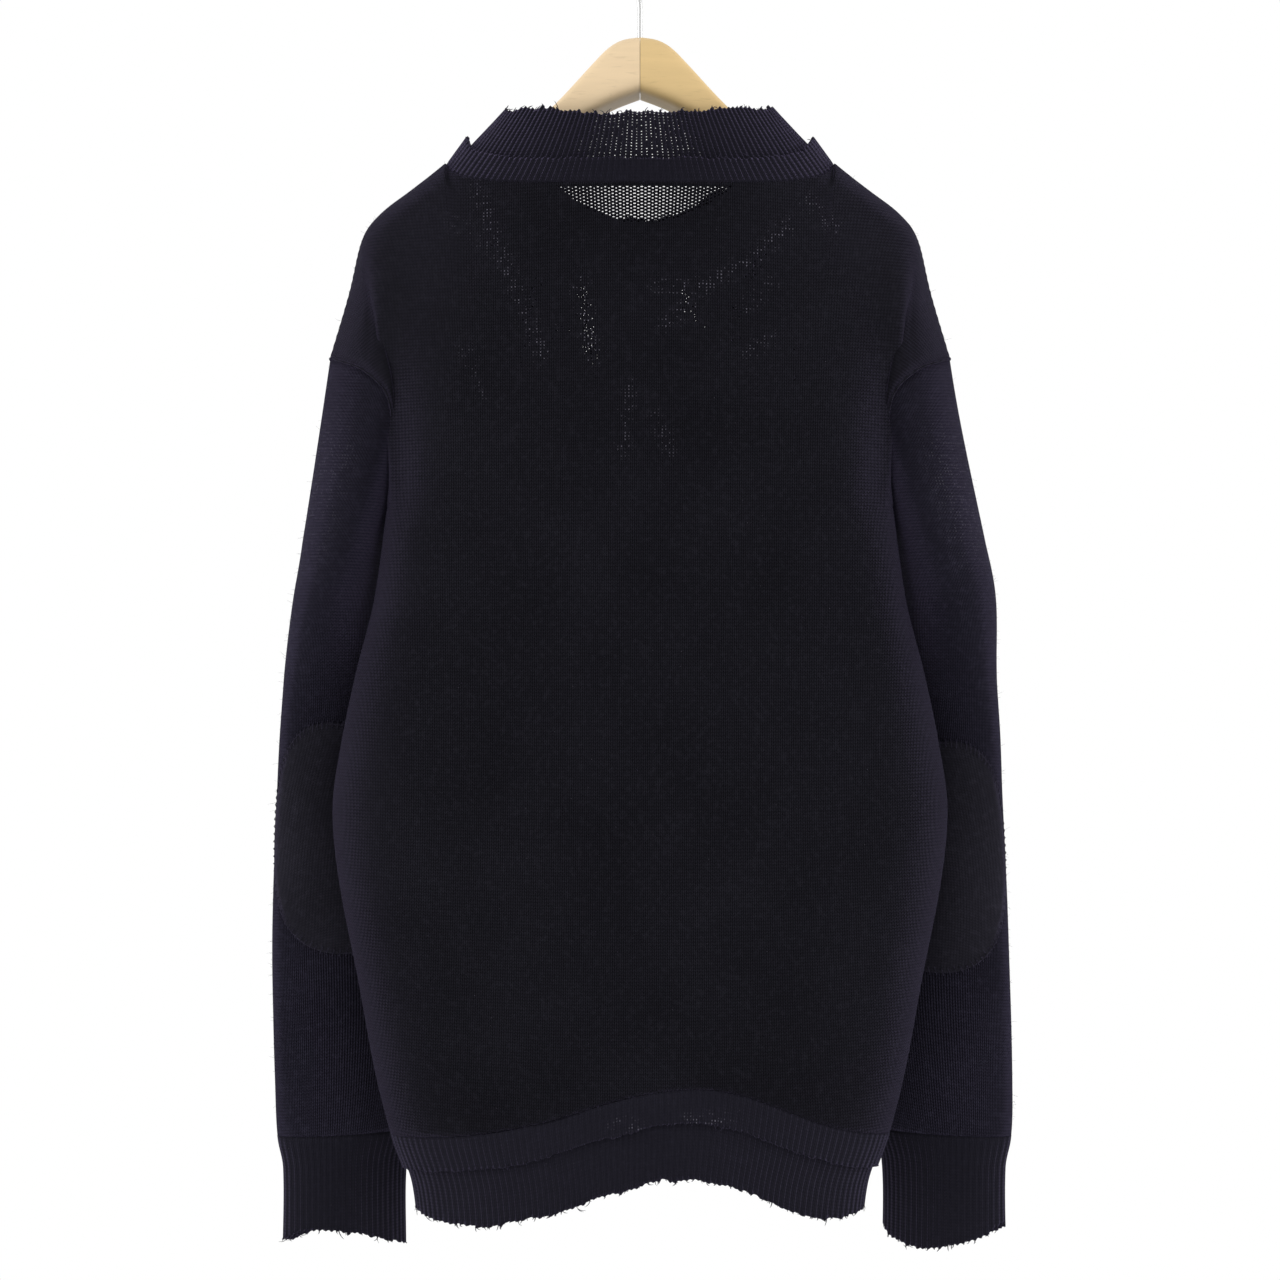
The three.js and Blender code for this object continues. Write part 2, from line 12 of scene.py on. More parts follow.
import bpy
import numpy as np
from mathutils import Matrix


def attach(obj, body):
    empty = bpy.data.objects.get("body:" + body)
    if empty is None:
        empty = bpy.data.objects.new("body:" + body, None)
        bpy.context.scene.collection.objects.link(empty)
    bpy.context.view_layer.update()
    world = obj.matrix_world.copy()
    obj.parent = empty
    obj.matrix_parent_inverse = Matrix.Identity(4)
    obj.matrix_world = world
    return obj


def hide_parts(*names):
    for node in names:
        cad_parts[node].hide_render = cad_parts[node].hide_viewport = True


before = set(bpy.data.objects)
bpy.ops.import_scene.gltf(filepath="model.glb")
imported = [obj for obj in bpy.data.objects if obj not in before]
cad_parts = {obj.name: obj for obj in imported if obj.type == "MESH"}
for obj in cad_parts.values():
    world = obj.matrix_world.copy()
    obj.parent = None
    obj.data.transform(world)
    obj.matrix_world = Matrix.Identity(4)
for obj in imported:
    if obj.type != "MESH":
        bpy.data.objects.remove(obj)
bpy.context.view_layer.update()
bpy.ops.object.select_all(action="DESELECT")

# %% [markdown]
# ## Camera, floor and light
# The pullover is looked at squarely, from a little under two metres and from the height of its middle, so
# the collar is seen slightly from below. A long lens keeps the sleeves from splaying. A white studio is
# the simplest light for black wool: the world is white, and two large soft lamps only give the folds a
# direction. The floor lies well under the hem, because the hanger is meant to hang on a rail. It fades to
# the white of the world with distance, so that the two meet without a line.

# %% Camera
CAMERA_DISTANCE = 1.70
EYE_LEVEL = -0.4887
LENS = 70.3

bpy.ops.object.camera_add(location=(0, CAMERA_DISTANCE, EYE_LEVEL), rotation=(math.pi / 2, 0, math.pi))
camera = bpy.context.object
camera.name = "camera"
camera.data.lens = LENS
camera.data.sensor_width = 36
bpy.context.scene.camera = camera
bpy.context.scene.view_settings.view_transform = "Standard"
print("camera at", [round(v, 3) for v in camera.location])

# %% Floor
FLOOR_HEIGHT = -1.75
FLOOR_SIZE = 40
FADE_FROM = 1.5
FADE_TO = 2.8


def fading_floor():
    pale = bpy.data.materials.new("pale floor")
    pale.use_nodes = True
    nodes, links = pale.node_tree.nodes, pale.node_tree.links
    paint = nodes["Principled BSDF"]
    paint.inputs["Base Color"].default_value = (0.86, 0.86, 0.86, 1)
    paint.inputs["Roughness"].default_value = 0.9
    spot = nodes.new("ShaderNodeTexCoord")
    reach = nodes.new("ShaderNodeVectorMath")
    reach.operation = "LENGTH"
    lighter_by = nodes.new("ShaderNodeMapRange")
    lighter_by.inputs["From Min"].default_value = FADE_FROM
    lighter_by.inputs["From Max"].default_value = FADE_TO
    glow = nodes.new("ShaderNodeEmission")
    either = nodes.new("ShaderNodeMixShader")
    links.new(spot.outputs["Object"], reach.inputs[0])
    links.new(reach.outputs["Value"], lighter_by.inputs["Value"])
    links.new(lighter_by.outputs[0], either.inputs[0])
    links.new(paint.outputs[0], either.inputs[1])
    links.new(glow.outputs[0], either.inputs[2])
    links.new(either.outputs[0], nodes["Material Output"].inputs["Surface"])
    return pale


bpy.ops.mesh.primitive_plane_add(size=FLOOR_SIZE, location=(0, 0, FLOOR_HEIGHT))
floor = bpy.context.object
floor.name = "floor"
floor.data.materials.append(fading_floor())

# %% World and lamps
LAMP_POWER = 30
LAMP_SIZE = 1.6
LIT_POINT = np.array([0, 0, -0.45])

world = bpy.data.worlds.new("studio")
world.use_nodes = True
world.node_tree.nodes["Background"].inputs["Color"].default_value = (1, 1, 1, 1)
world.node_tree.nodes["Background"].inputs["Strength"].default_value = 1.0
bpy.context.scene.world = world


def soft_lamp(name, location):
    bpy.ops.object.light_add(type="AREA", location=location)
    lamp = bpy.context.object
    lamp.name = name
    lamp.data.energy = LAMP_POWER
    lamp.data.size = LAMP_SIZE
    away = np.array(location) - LIT_POINT
    lamp.rotation_euler = (math.acos(away[2] / np.linalg.norm(away)), 0, math.atan2(away[0], -away[1]))


soft_lamp("left_lamp", (2.3, 0.5, -0.1))
soft_lamp("right_lamp", (-2.3, 0.5, -0.1))

# %% [markdown]
# ## The pullover's form
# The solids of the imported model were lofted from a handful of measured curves: how wide and deep the body
# is at each height, the line of the neck, of the shoulder and of the armhole, and the oval of a sleeve.
# The same curves are repeated here, so that a finer mesh can be laid over exactly the same form. Lengths
# are millimetres and heights are counted from the top of the hanger's arch, as a tailor would note them.
# Here share runs from one side seam, -1, to the other, 1, back is 1 behind and -1 in front, and inset says
# how deep a point lies under the outer face.

# %% Curves through measured rows
ARCH_TOP = -78.0
CLOTH = 2.5
SEAM = 0.3
RIB_SPACE = 3.2
ARMPIT = -320.0


def through(rows):
    table = np.array(rows, float)
    table = table[np.argsort(table[:, 0])]
    at = table[:, 0]
    values = table[:, 1:]
    ahead = np.minimum(np.arange(len(at)) + 1, len(at) - 1)
    behind = np.maximum(np.arange(len(at)) - 1, 0)
    slopes = (values[ahead] - values[behind]) / (at[ahead] - at[behind])[:, None]

    def curve(where):
        where = np.clip(np.asarray(where, float), at[0], at[-1])
        i = np.clip(np.searchsorted(at, where, side="right") - 1, 0, len(at) - 2)
        span = (at[i + 1] - at[i])[..., None]
        t = (where - at[i])[..., None] / span
        p, q = values[i], values[i + 1]
        mp, mq = slopes[i] * span, slopes[i + 1] * span
        bend = 2 * p - 2 * q + mp + mq
        return p + mp * t + (3 * q - 3 * p - 2 * mp - mq) * t**2 + bend * t**3

    return curve


def mix(a, b, t):
    return a + (b - a) * t


def smooth(low, high, x):
    t = np.clip((x - low) / (high - low), 0, 1)
    return t * t * (3 - 2 * t)


def points(x, y, z):
    return np.stack(np.broadcast_arrays(x, y, z), axis=-1).astype(float)


def unit(v):
    return v / np.linalg.norm(v, axis=-1, keepdims=True)


def moved(p, direction, by):
    return p + direction * np.asarray(by, float)[..., None]


# %% Body and hem
torso_size = through([
    [-320, 172, 50, 48], [-384, 181, 54, 50], [-432, 193, 57, 52], [-480, 203, 60, 54],
    [-524, 209, 60, 54], [-572, 205, 58, 52], [-640, 192, 54, 49], [-705, 180, 50, 46],
    [-748, 169, 47, 44], [-780, 158, 45, 42], [-830, 153, 43, 41],
])
SIDE_SEAM_Y = -4
BACK_ROUND = 0.7
FRONT_ROUND = 1.1


def torso(share, height, back, inset):
    half, deep_back, deep_front = np.moveaxis(torso_size(height), -1, 0)
    turn = share * math.pi / 2
    deep = np.where(back > 0, deep_back, deep_front) - inset
    around = np.maximum(np.cos(turn), 0) ** np.where(back > 0, BACK_ROUND, FRONT_ROUND)
    return points((half - inset) * np.sin(turn), SIDE_SEAM_Y + back * deep * around, height)


BODY_END = -745
OUTER_HEM_END = -768
INNER_HEM_END = -806
HEM_HALF_WIDTH = 163


def hem_wave(x, back):
    behind = 37 * np.exp(-(((x + 36) / np.where(x > -36, 100, 78)) ** 2))
    before = 27 * np.exp(-(((x + 34) / np.where(x > -34, 100, 84)) ** 2))
    return np.where(back > 0, behind, before)


def edge_height(edge, share, back):
    turn = share * math.pi / 2
    return edge + np.maximum(np.cos(turn), 0) ** 0.5 * hem_wave(HEM_HALF_WIDTH * np.sin(turn), back)


def lower_panel(share, fall, back, inset):
    return torso(share, mix(ARMPIT, edge_height(BODY_END, share, back), fall), back, inset)


# %% Neck, shoulder and armhole
NECK_HALF_WIDTH = 131
NECK_HEIGHT = -88
NECK_SHARE = 0.46


def neck_inward(angle):
    c = np.cos(angle)
    return unit(points(-0.7 * c, -np.sin(angle), -0.72 * c * c))


def ring_line(angle, half, behind, before, height):
    s = np.sin(angle)
    reach = np.abs(s)
    y = np.where(s >= 0, behind[0] * reach ** behind[1], before[0] * reach ** before[1])
    soft = (np.hypot(s, 0.06) - 0.06) / (np.hypot(1, 0.06) - 0.06)
    drop = np.where(s >= 0, behind[2](soft), before[2](soft))
    return points(half * np.cos(angle), y, height - drop)


def neck_ring(angle, inset):
    behind = (50, 0.6, lambda r: 20 * (1 - (1 - r) ** 2))
    before = (-60, 0.8, lambda r: 76 * r**1.7)
    line = ring_line(angle, NECK_HALF_WIDTH, behind, before, NECK_HEIGHT)
    return moved(line, neck_inward(angle), inset)


shoulder_line = through([
    [0, 131, 0, -88], [0.28, 156, -4, -105], [0.52, 178, -8, -121], [0.68, 190, -11, -137.5],
    [0.84, 199, -12, -174], [1, 212, -12, -218],
])


def shoulder(share, inset):
    step = shoulder_line(np.minimum(share + 0.01, 1)) - shoulder_line(np.maximum(share - 0.01, 0))
    along = unit(points(step[..., 0], 0, step[..., 2]))
    return moved(shoulder_line(share), points(along[..., 2], 0, -along[..., 0]), inset)


armhole_line = through([
    [-0.1, 203, -30, -222], [0, 212, -12, -218], [0.1, 203, 4, -221], [0.2, 185, 15, -229],
    [0.3, 169, 17, -248], [0.4, 167, 8, -285], [0.5, 172, -5, -320], [0.6, 168, -20, -291],
    [0.7, 170, -33, -251], [0.8, 185, -38, -232], [0.9, 203, -30, -222], [1, 212, -12, -218],
    [1.1, 203, 4, -221],
])
ARMHOLE_MIDDLE = np.array([187, -9, -262])


def armhole(turns, inset):
    p = armhole_line(turns - np.floor(turns))
    return moved(p, unit(ARMHOLE_MIDDLE - p), inset)


# %% The yoke, which rounds the hanger's shoulders
SHOULDER_DEPTH = 26
SHOULDER_ROUND = 16
ON_ARM = 34


def top_edge(share, back, inset):
    angle = back * (math.pi / 2) * (1 - np.minimum(share / NECK_SHARE, 1))
    away = unit(points(0.7 * np.cos(angle), 0.3 * np.sin(angle), -0.8))
    neck = moved(neck_ring(angle, inset), away, SEAM)
    sewn = shoulder(np.maximum((share - NECK_SHARE) / (1 - NECK_SHARE), 0), inset)
    return np.where((share < NECK_SHARE)[..., None], neck, sewn)


def yoke(share, step, back, inset):
    fall = step**2

    def straight(at):
        high = top_edge(at, back, inset)
        low = torso(at, ARMPIT, back, inset)
        drop = (high[..., 2] - ARMPIT) * fall
        rounded = np.sqrt(1 - (1 - np.minimum(drop / SHOULDER_ROUND, 1)) ** 2)
        stand = SHOULDER_DEPTH * np.maximum(1 - np.abs(high[..., 1]) / ON_ARM, 0)
        p = mix(high, low, fall[..., None])
        p[..., 1] += back * stand * rounded * (1 - fall) ** 0.8
        return p

    outward = np.abs(share)
    pull = smooth(0.78, 1, outward)[..., None]
    towards_body = unit(points(-np.sin(step * math.pi) - 0.2, 0, np.cos(step * math.pi)))
    seam = moved(armhole(back * step / 2, inset), towards_body, SEAM)
    p = straight(outward) + pull * (seam - straight(np.ones_like(outward)))
    p[..., 0] *= np.where(share < 0, -1, 1)
    return p


# %% Sleeves and cuffs
CUFF_TOP = -752
SLEEVE_FIRST = -345
HEAD_SHARE = 0.12
BULGE_SHARE = 0.34
LEFT = {"name": "left", "side": 1, "bulge": 0, "sway": -3.5, "phase": 0, "darn": 0.557}
RIGHT = {"name": "right", "side": -1, "bulge": 7, "sway": 2.5, "phase": 2, "darn": 0.585}
sleeve_size = through([
    [-345, 202.5, -24, 42, 28.5, 78], [-384, 207, -32, 50, 27, 70], [-425, 206.5, -41, 56, 26, 60],
    [-465, 202, -50, 62, 24, 50], [-520, 197, -57, 66, 23, 40], [-574, 194.5, -55, 68, 22, 34],
    [-650, 197, -49, 64, 20, 28], [-717, 203, -44, 56, 18.5, 24], [-752, 207, -42, 50, 18, 22],
    [-775, 208.5, -41, 44, 16.5, 22], [-840, 209, -40, 43.5, 16.5, 20],
])


def sleeve_section(angle, height, inset):
    x, y, long, short, degrees = np.moveaxis(sleeve_size(height), -1, 0)
    turn = np.radians(degrees)
    a = (long - inset) * np.cos(angle - turn)
    b = (short - inset) * np.sin(angle - turn)
    c, s = np.cos(turn), np.sin(turn)
    return points(x + a * c - b * s, y + a * s + b * c, height)


def sleeve(wearer, turns, along, inset):
    """turns goes once round the sleeve, and along runs from the armhole, 0, to the cuff, 1."""
    angle = turns * math.pi * 2
    height = mix(SLEEVE_FIRST, CUFF_TOP, np.maximum(along - HEAD_SHARE, 0) / (1 - HEAD_SHARE))
    below = sleeve_section(angle, height, inset)
    head = mix(armhole(turns, inset), below, np.minimum(along / HEAD_SHARE, 1)[..., None])
    p = np.where((along < HEAD_SHARE)[..., None], head, below)
    swell = np.sin(math.pi * np.minimum(along / BULGE_SHARE, 1)) ** 2
    bulge = wearer["bulge"] * np.maximum(np.cos(angle), 0) * swell
    p[..., 0] = wearer["side"] * (p[..., 0] + bulge + wearer["sway"] * smooth(0.6, 1, along))
    return p


def cuff(wearer, turns, along, inset):
    angle = turns * math.pi * 2
    end = -823 - 6 * np.cos(2 * angle + wearer["phase"]) + 3 * np.cos(angle)
    p = sleeve_section(angle, mix(CUFF_TOP - SEAM, end, along), inset)
    p[..., 0] = wearer["side"] * (p[..., 0] + wearer["sway"])
    return p


# %% Collars and hems
def outer_collar(angle, rise, inset):
    behind = (48.5, 0.6, lambda r: 22 * (1 - (1 - r) ** 2))
    before = (-58.5, 0.8, lambda r: 76 * r**1.7)
    edge = moved(ring_line(angle, 118, behind, before, -70), neck_inward(angle), inset)
    return mix(neck_ring(angle, inset), edge, rise[..., None])


def inner_collar(angle, rise, inset):
    behind = (38, 0.65, lambda r: 8 * r**2)
    before = (-50, 0.8, lambda r: 65 * r**1.4)
    edge = moved(ring_line(angle, 92, behind, before, -52), neck_inward(angle), inset)
    return mix(neck_ring(angle, RIB_SPACE + inset), edge, rise[..., None])


def hem_band(around, fall, bottom, inset):
    back = np.where(around < 1, 1, -1)
    share = np.where(around < 1, 1 - 2 * around, 2 * around - 3)
    top = edge_height(BODY_END - SEAM, share, back)
    return torso(share, mix(top, edge_height(bottom, share, back), fall), back, inset)


def outer_hem(around, fall, inset):
    return hem_band(around, fall, OUTER_HEM_END, inset)


def inner_hem(around, fall, inset):
    return hem_band(around, fall, INNER_HEM_END, inset + RIB_SPACE)


# %% [markdown]
# ## Laying cloth over the form
# Cloth is a thin wall with two faces. Each piece is a grid of cells that is computed twice, on the outer
# and on the inner face, and joined along its free edges, so that it is one closed skin. A worn hole is a
# small opening cut through one cell, with its own rim. Every piece also gets a map in stitches: one unit
# across is a column of stitches, which a knitter calls a wale, and one unit down is a row of them, a
# course. The knit pattern of the finish is drawn on that map, so that the stitches follow the cloth.

# %% A wall of cloth
WALE = 2.45
COURSE = 2.2
MM = 0.001


def to_frame(p):
    return (p + np.array([0, 0, ARCH_TOP])) * MM


def new_piece(name, corners, faces, finish, stitches):
    mesh = bpy.data.meshes.new(name)
    mesh.from_pydata(to_frame(corners).tolist(), [], faces)
    mesh.shade_smooth()
    layer = mesh.uv_layers.new(name="stitches")
    layer.data.foreach_set("uv", stitches.reshape(-1).astype(np.float32))
    mesh.materials.append(finish)
    piece = bpy.data.objects.new(name, mesh)
    bpy.context.collection.objects.link(piece)
    return piece


def corner_cells(grid, j, i):
    return np.stack([grid[j, i], grid[j, i + 1], grid[j + 1, i + 1], grid[j + 1, i]], axis=1)


def in_cell(corners, s, t):
    a, b, c, d = np.moveaxis(corners, 1, 0)
    s, t = s[:, None], t[:, None]
    return a * (1 - s) * (1 - t) + b * s * (1 - t) + c * s * t + d * (1 - s) * t


def cut_open(corners, maps, cells, flats, layer, holes):
    """Leaves a small opening in each of the cells, with a rim from the outer face to the inner one."""
    rims, rim_maps = [], []
    for depth in (0, layer):
        for s, t in ((-1, -1), (1, -1), (1, 1), (-1, 1)):
            at = (holes["s"] + s * holes["wide"], holes["t"] + t * holes["tall"])
            rims.append(in_cell(corners[cells + depth], *at))
            rim_maps.append(in_cell(maps[flats], *at))
    numbers = np.arange(8)[:, None] * len(cells) + np.arange(len(cells))
    rim, rim_map = len(corners) + numbers, len(maps) + numbers
    quads, places = [], []
    for k in range(4):
        n = (k + 1) % 4
        place = np.stack([flats[:, k], flats[:, n], rim_map[n], rim_map[k]], 1)
        quads.append(np.stack([cells[:, k], cells[:, n], rim[n], rim[k]], 1))
        quads.append(np.stack([cells[:, n] + layer, cells[:, k] + layer, rim[k + 4], rim[n + 4]], 1))
        quads.append(np.stack([rim[k], rim[n], rim[n + 4], rim[k + 4]], 1))
        places.append(place)
        places.append(place[:, [1, 0, 3, 2]])
        places.append(np.stack([rim_map[k], rim_map[n], rim_map[n], rim_map[k]], 1))
    return np.concatenate([corners, *rims]), np.concatenate([maps, *rim_maps]), quads, places


def cloth_wall(name, outer, inner, stitches, finish, ring=False, holes=None):
    rows, columns = outer.shape[:2]
    layer = rows * columns
    grid = np.arange(layer).reshape(rows, columns)
    if ring:
        grid = np.concatenate([grid, grid[:, :1]], axis=1)
    across = grid.shape[1] - 1
    flat = np.arange(rows * (across + 1)).reshape(rows, across + 1)
    maps = stitches.reshape(-1, 2)
    corners = np.concatenate([outer.reshape(-1, 3), inner.reshape(-1, 3)])
    faces, places = [], []

    def add(quads, on_map):
        faces.append(quads)
        places.append(on_map)

    plain = np.ones((rows - 1, across), bool)
    if holes is not None:
        plain[holes["row"], holes["column"]] = False
    cells = corner_cells(grid, *np.nonzero(plain))
    flats = corner_cells(flat, *np.nonzero(plain))
    add(cells, flats)
    add(cells[:, ::-1] + layer, flats[:, ::-1])
    for row, turn in ((0, 1), (rows - 1, -1)):
        a, b = grid[row, :-1], grid[row, 1:]
        u, v = flat[row, :-1], flat[row, 1:]
        add(np.stack([b, a, a + layer, b + layer], 1)[:, ::turn], np.stack([v, u, u, v], 1)[:, ::turn])
    if not ring:
        for column, turn in ((0, 1), (across, -1)):
            a, b = grid[:-1, column], grid[1:, column]
            u, v = flat[:-1, column], flat[1:, column]
            add(np.stack([a, b, b + layer, a + layer], 1)[:, ::turn], np.stack([u, v, v, u], 1)[:, ::turn])
    if holes is not None:
        cells = corner_cells(grid, holes["row"], holes["column"])
        flats = corner_cells(flat, holes["row"], holes["column"])
        corners, maps, quads, on_map = cut_open(corners, maps, cells, flats, layer, holes)
        faces += quads
        places += on_map
    faces, places = np.concatenate(faces), np.concatenate(places)
    a, b, c, d = (corners[faces[:, k]] for k in range(4))
    volume = np.einsum("ij,ij->i", a, np.cross(b, c) + np.cross(c, d)).sum() / 6
    if volume < 0:
        faces, places = faces[:, ::-1], places[:, ::-1]
    piece = new_piece(name, corners, faces.tolist(), finish, maps[places])
    print(name, "faces", len(faces), "holes", 0 if holes is None else len(holes["row"]))
    return piece


# %% Measuring along a grid
FINE_STEPS = 4001


def evenly(curve, low, high, shares):
    t = np.linspace(low, high, FINE_STEPS)
    steps = np.linalg.norm(np.diff(curve(t), axis=0), axis=1)
    run = np.concatenate([[0], np.cumsum(steps)])
    return np.interp(shares, run / run[-1], t)


def length_of(curve, low, high):
    return np.linalg.norm(np.diff(curve(np.linspace(low, high, FINE_STEPS)), axis=0), axis=1).sum()


def run_down(grid):
    steps = np.linalg.norm(np.diff(grid, axis=0), axis=2)
    return np.concatenate([np.zeros((1, grid.shape[1])), np.cumsum(steps, axis=0)])


def run_across(grid):
    steps = np.linalg.norm(np.diff(grid, axis=1), axis=2)
    run = np.concatenate([np.zeros((grid.shape[0], 1)), np.cumsum(steps, axis=1)], axis=1)
    return run - run[:, run.shape[1] // 2, None]


def panel_map(grid, level_row):
    down = run_down(grid)
    return np.stack([run_across(grid) / WALE, (down - down[level_row]) / COURSE], axis=-1)


def ring_map(grid, across, level_row=0):
    down = run_down(grid)
    down = (down - down[level_row]) / COURSE
    down = np.concatenate([down, down[:, :1]], axis=1)
    return np.stack([np.broadcast_to(across, down.shape), down], axis=-1)


def declare(piece, grid, ring, rests_on, *nodes, from_row=0):
    """Hides the imported parts that the sheet stands for and hangs it on the root. Its from_row is not used.
    """
    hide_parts(*nodes)
    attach(piece, "root")


# %% [markdown]
# ## Wool
# Stocking stitch is a field of small V shapes. On the map in stitches, the distance from the middle of a
# wale gives the two legs of each V, and sliding the course by that distance makes the legs slant. Black
# wool is never quite black: it is a very dark violet blue, paler where fibres stand up and catch the
# light, which a sheen gives along every edge that turns away. The pattern goes into the bump as well as
# the colour, where the valleys between the stitches are darker by painted shade. Light is painted over the
# shoulders, and shade where that number is negative. Where the piece says that it is thin, pale light is
# painted between the stitches as if it came through the wool, and a few specks of lint cling to it.

# %% A small helper for finishes
class Finish:
    def __init__(self, name):
        self.material = bpy.data.materials.new(name)
        self.material.use_nodes = True
        self.nodes = self.material.node_tree.nodes
        self.shader = self.nodes["Principled BSDF"]

    def link(self, source, socket):
        self.material.node_tree.links.new(source, socket)

    def put(self, value, socket):
        if isinstance(value, bpy.types.NodeSocket):
            self.link(value, socket)
        else:
            socket.default_value = value

    def add(self, kind, **inputs):
        node = self.nodes.new("ShaderNode" + kind)
        for name, value in inputs.items():
            self.put(value, node.inputs[name.replace("_", " ")])
        return node

    def math(self, operation, *values):
        node = self.nodes.new("ShaderNodeMath")
        node.operation = operation
        for value, socket in zip(values, node.inputs):
            self.put(value, socket)
        return node.outputs[0]

    def times(self, *values):
        return self.math("MULTIPLY", *values)

    def plus(self, *values):
        return self.math("ADD", *values)

    def blend(self, share, low, high):
        node = self.nodes.new("ShaderNodeMix")
        node.data_type = "RGBA"
        for socket, value in zip((node.inputs[0], node.inputs[6], node.inputs[7]), (share, low, high)):
            self.put(value, socket)
        return node.outputs[2]

    def steps(self, value, low, high):
        node = self.add("MapRange", Value=value, From_Min=low, From_Max=high)
        return node.outputs[0]


# %% Knitted wool
STITCH_SLANT = 0.6
LIGHT_THROUGH_COLOUR = (0.21, 0.2, 0.25, 1)
LINT_COLOUR = (0.11, 0.1, 0.13, 1)
SHEEN_TINT = (0.5, 0.42, 0.75, 1)


def knitted(finish):
    """How far aside in its wale a point lies, how far up its loop, and how raised the stitch is there."""
    stitch_map = finish.nodes.new("ShaderNodeUVMap")
    stitch_map.uv_map = "stitches"
    split = finish.add("SeparateXYZ", Vector=stitch_map.outputs[0])
    aside = finish.math("ABSOLUTE", finish.math("SUBTRACT", finish.math("FRACT", split.outputs[0]), 0.5))
    aside = finish.times(aside, 2)
    leg = finish.math("SINE", finish.times(aside, math.pi))
    lag = finish.times(aside, STITCH_SLANT)
    slant = finish.math("FRACT", finish.math("SUBTRACT", split.outputs[1], lag))
    loop = finish.math("SINE", finish.times(slant, math.pi))
    raised = finish.times(leg, finish.plus(finish.times(loop, 0.55), 0.45))
    return aside, loop, raised


# Where light is painted: high up and out past the neck, which takes in the tops of the sleeves.
def over_shoulders(finish, place):
    where = finish.add("SeparateXYZ", Vector=place)
    high = finish.steps(where.outputs[2], -0.42, -0.2)
    outward = finish.steps(finish.math("ABSOLUTE", where.outputs[0]), 0.07, 0.17)
    return finish.times(high, outward)


# Pale light painted into the gaps between the stitches where the wool is thin.
def light_through_thin_wool(finish, place, aside, loop):
    sparse = finish.add("TexNoise", Vector=place, Scale=330, Detail=1).outputs[0]
    between_wales = finish.math("GREATER_THAN", aside, 0.72)
    gap = finish.times(between_wales, finish.math("GREATER_THAN", loop, 0.8))
    thin = finish.nodes.new("ShaderNodeAttribute")
    thin.attribute_name = "thin"
    here = finish.times(thin.outputs["Fac"], finish.steps(sparse, 0.53, 0.61))
    return finish.times(finish.times(gap, here), 0.85)


def wool(name, shaded_valley, ridge, depth, sheen, painted_top_light=0.0):
    finish = Finish(name)
    aside, loop, raised = knitted(finish)
    place = finish.nodes.new("ShaderNodeTexCoord").outputs["Object"]
    cloudy = finish.add("TexNoise", Vector=place, Scale=16, Detail=4).outputs[0]
    fibres = finish.add("TexNoise", Vector=place, Scale=1500, Detail=3).outputs[0]
    fluff = finish.add("TexNoise", Vector=place, Scale=260, Detail=4).outputs[0]
    relief = finish.plus(raised, finish.times(fibres, 0.5))
    bump = finish.add("Bump", Height=relief, Strength=0.8, Distance=depth)
    finish.link(bump.outputs[0], finish.shader.inputs["Normal"])
    cloud = finish.plus(finish.times(finish.steps(cloudy, 0.3, 0.7), 0.3), 0.7)
    light = finish.times(raised, cloud)
    light = finish.plus(light, finish.times(finish.steps(fluff, 0.5, 0.75), 0.28))
    # Painted light over the shoulders; where the number is negative it paints shade there instead.
    lighter_by = finish.times(over_shoulders(finish, place), painted_top_light)
    light = finish.plus(light, finish.times(light, lighter_by))
    # The valley colour is painted shade that falls between the stitches.
    colour = finish.blend(light, (*shaded_valley, 1), (*ridge, 1))
    # Painted light between the stitches where the wool is thin, as if it came through the cloth.
    colour = finish.blend(light_through_thin_wool(finish, place, aside, loop), colour, LIGHT_THROUGH_COLOUR)
    lint = finish.add("TexVoronoi", Vector=place, Scale=95)
    speck = finish.math("LESS_THAN", lint.outputs["Distance"], 0.022)
    colour = finish.blend(finish.times(speck, 0.5), colour, LINT_COLOUR)
    finish.link(colour, finish.shader.inputs["Base Color"])
    finish.shader.inputs["Roughness"].default_value = 0.95
    finish.shader.inputs["Specular IOR Level"].default_value = 0.03
    finish.shader.inputs["Sheen Weight"].default_value = sheen
    finish.shader.inputs["Sheen Roughness"].default_value = 0.22
    finish.shader.inputs["Sheen Tint"].default_value = SHEEN_TINT
    return finish.material


# %% The five wools, each with the colour of its valleys, which is painted shade, and of its ridges
JERSEY_DEPTH = 0.0011
RIB_DEPTH = 0.0006
DARN_DEPTH = 0.0008

# The jersey gets painted light over its shoulders.
jersey = wool(
    "black jersey", (0.0014, 0.0013, 0.0019), (0.0153, 0.0147, 0.0205), JERSEY_DEPTH,
    sheen=0.17, painted_top_light=0.55,
)
# The sleeves are the same wool as the jersey, painted lighter for the light from the sides, with painted
# shade over their tops.
side_lit_sleeve_jersey = wool(
    "black sleeve jersey painted lighter", (0.0024, 0.0021, 0.0037), (0.0285, 0.0262, 0.0425), JERSEY_DEPTH,
    sheen=0.15, painted_top_light=-0.6,
)
ribbing = wool("black ribbing", (0.0082, 0.0077, 0.0113), (0.0168, 0.0158, 0.024), RIB_DEPTH, sheen=0.2)
collar_ribbing = wool(
    "worn collar ribbing", (0.0066, 0.0062, 0.0092), (0.0162, 0.0151, 0.0232), RIB_DEPTH, sheen=0.42,
)
darning = wool(
    "darned elbow wool", (0.005, 0.0047, 0.0064), (0.0345, 0.0325, 0.0455), DARN_DEPTH, sheen=0.19,
)

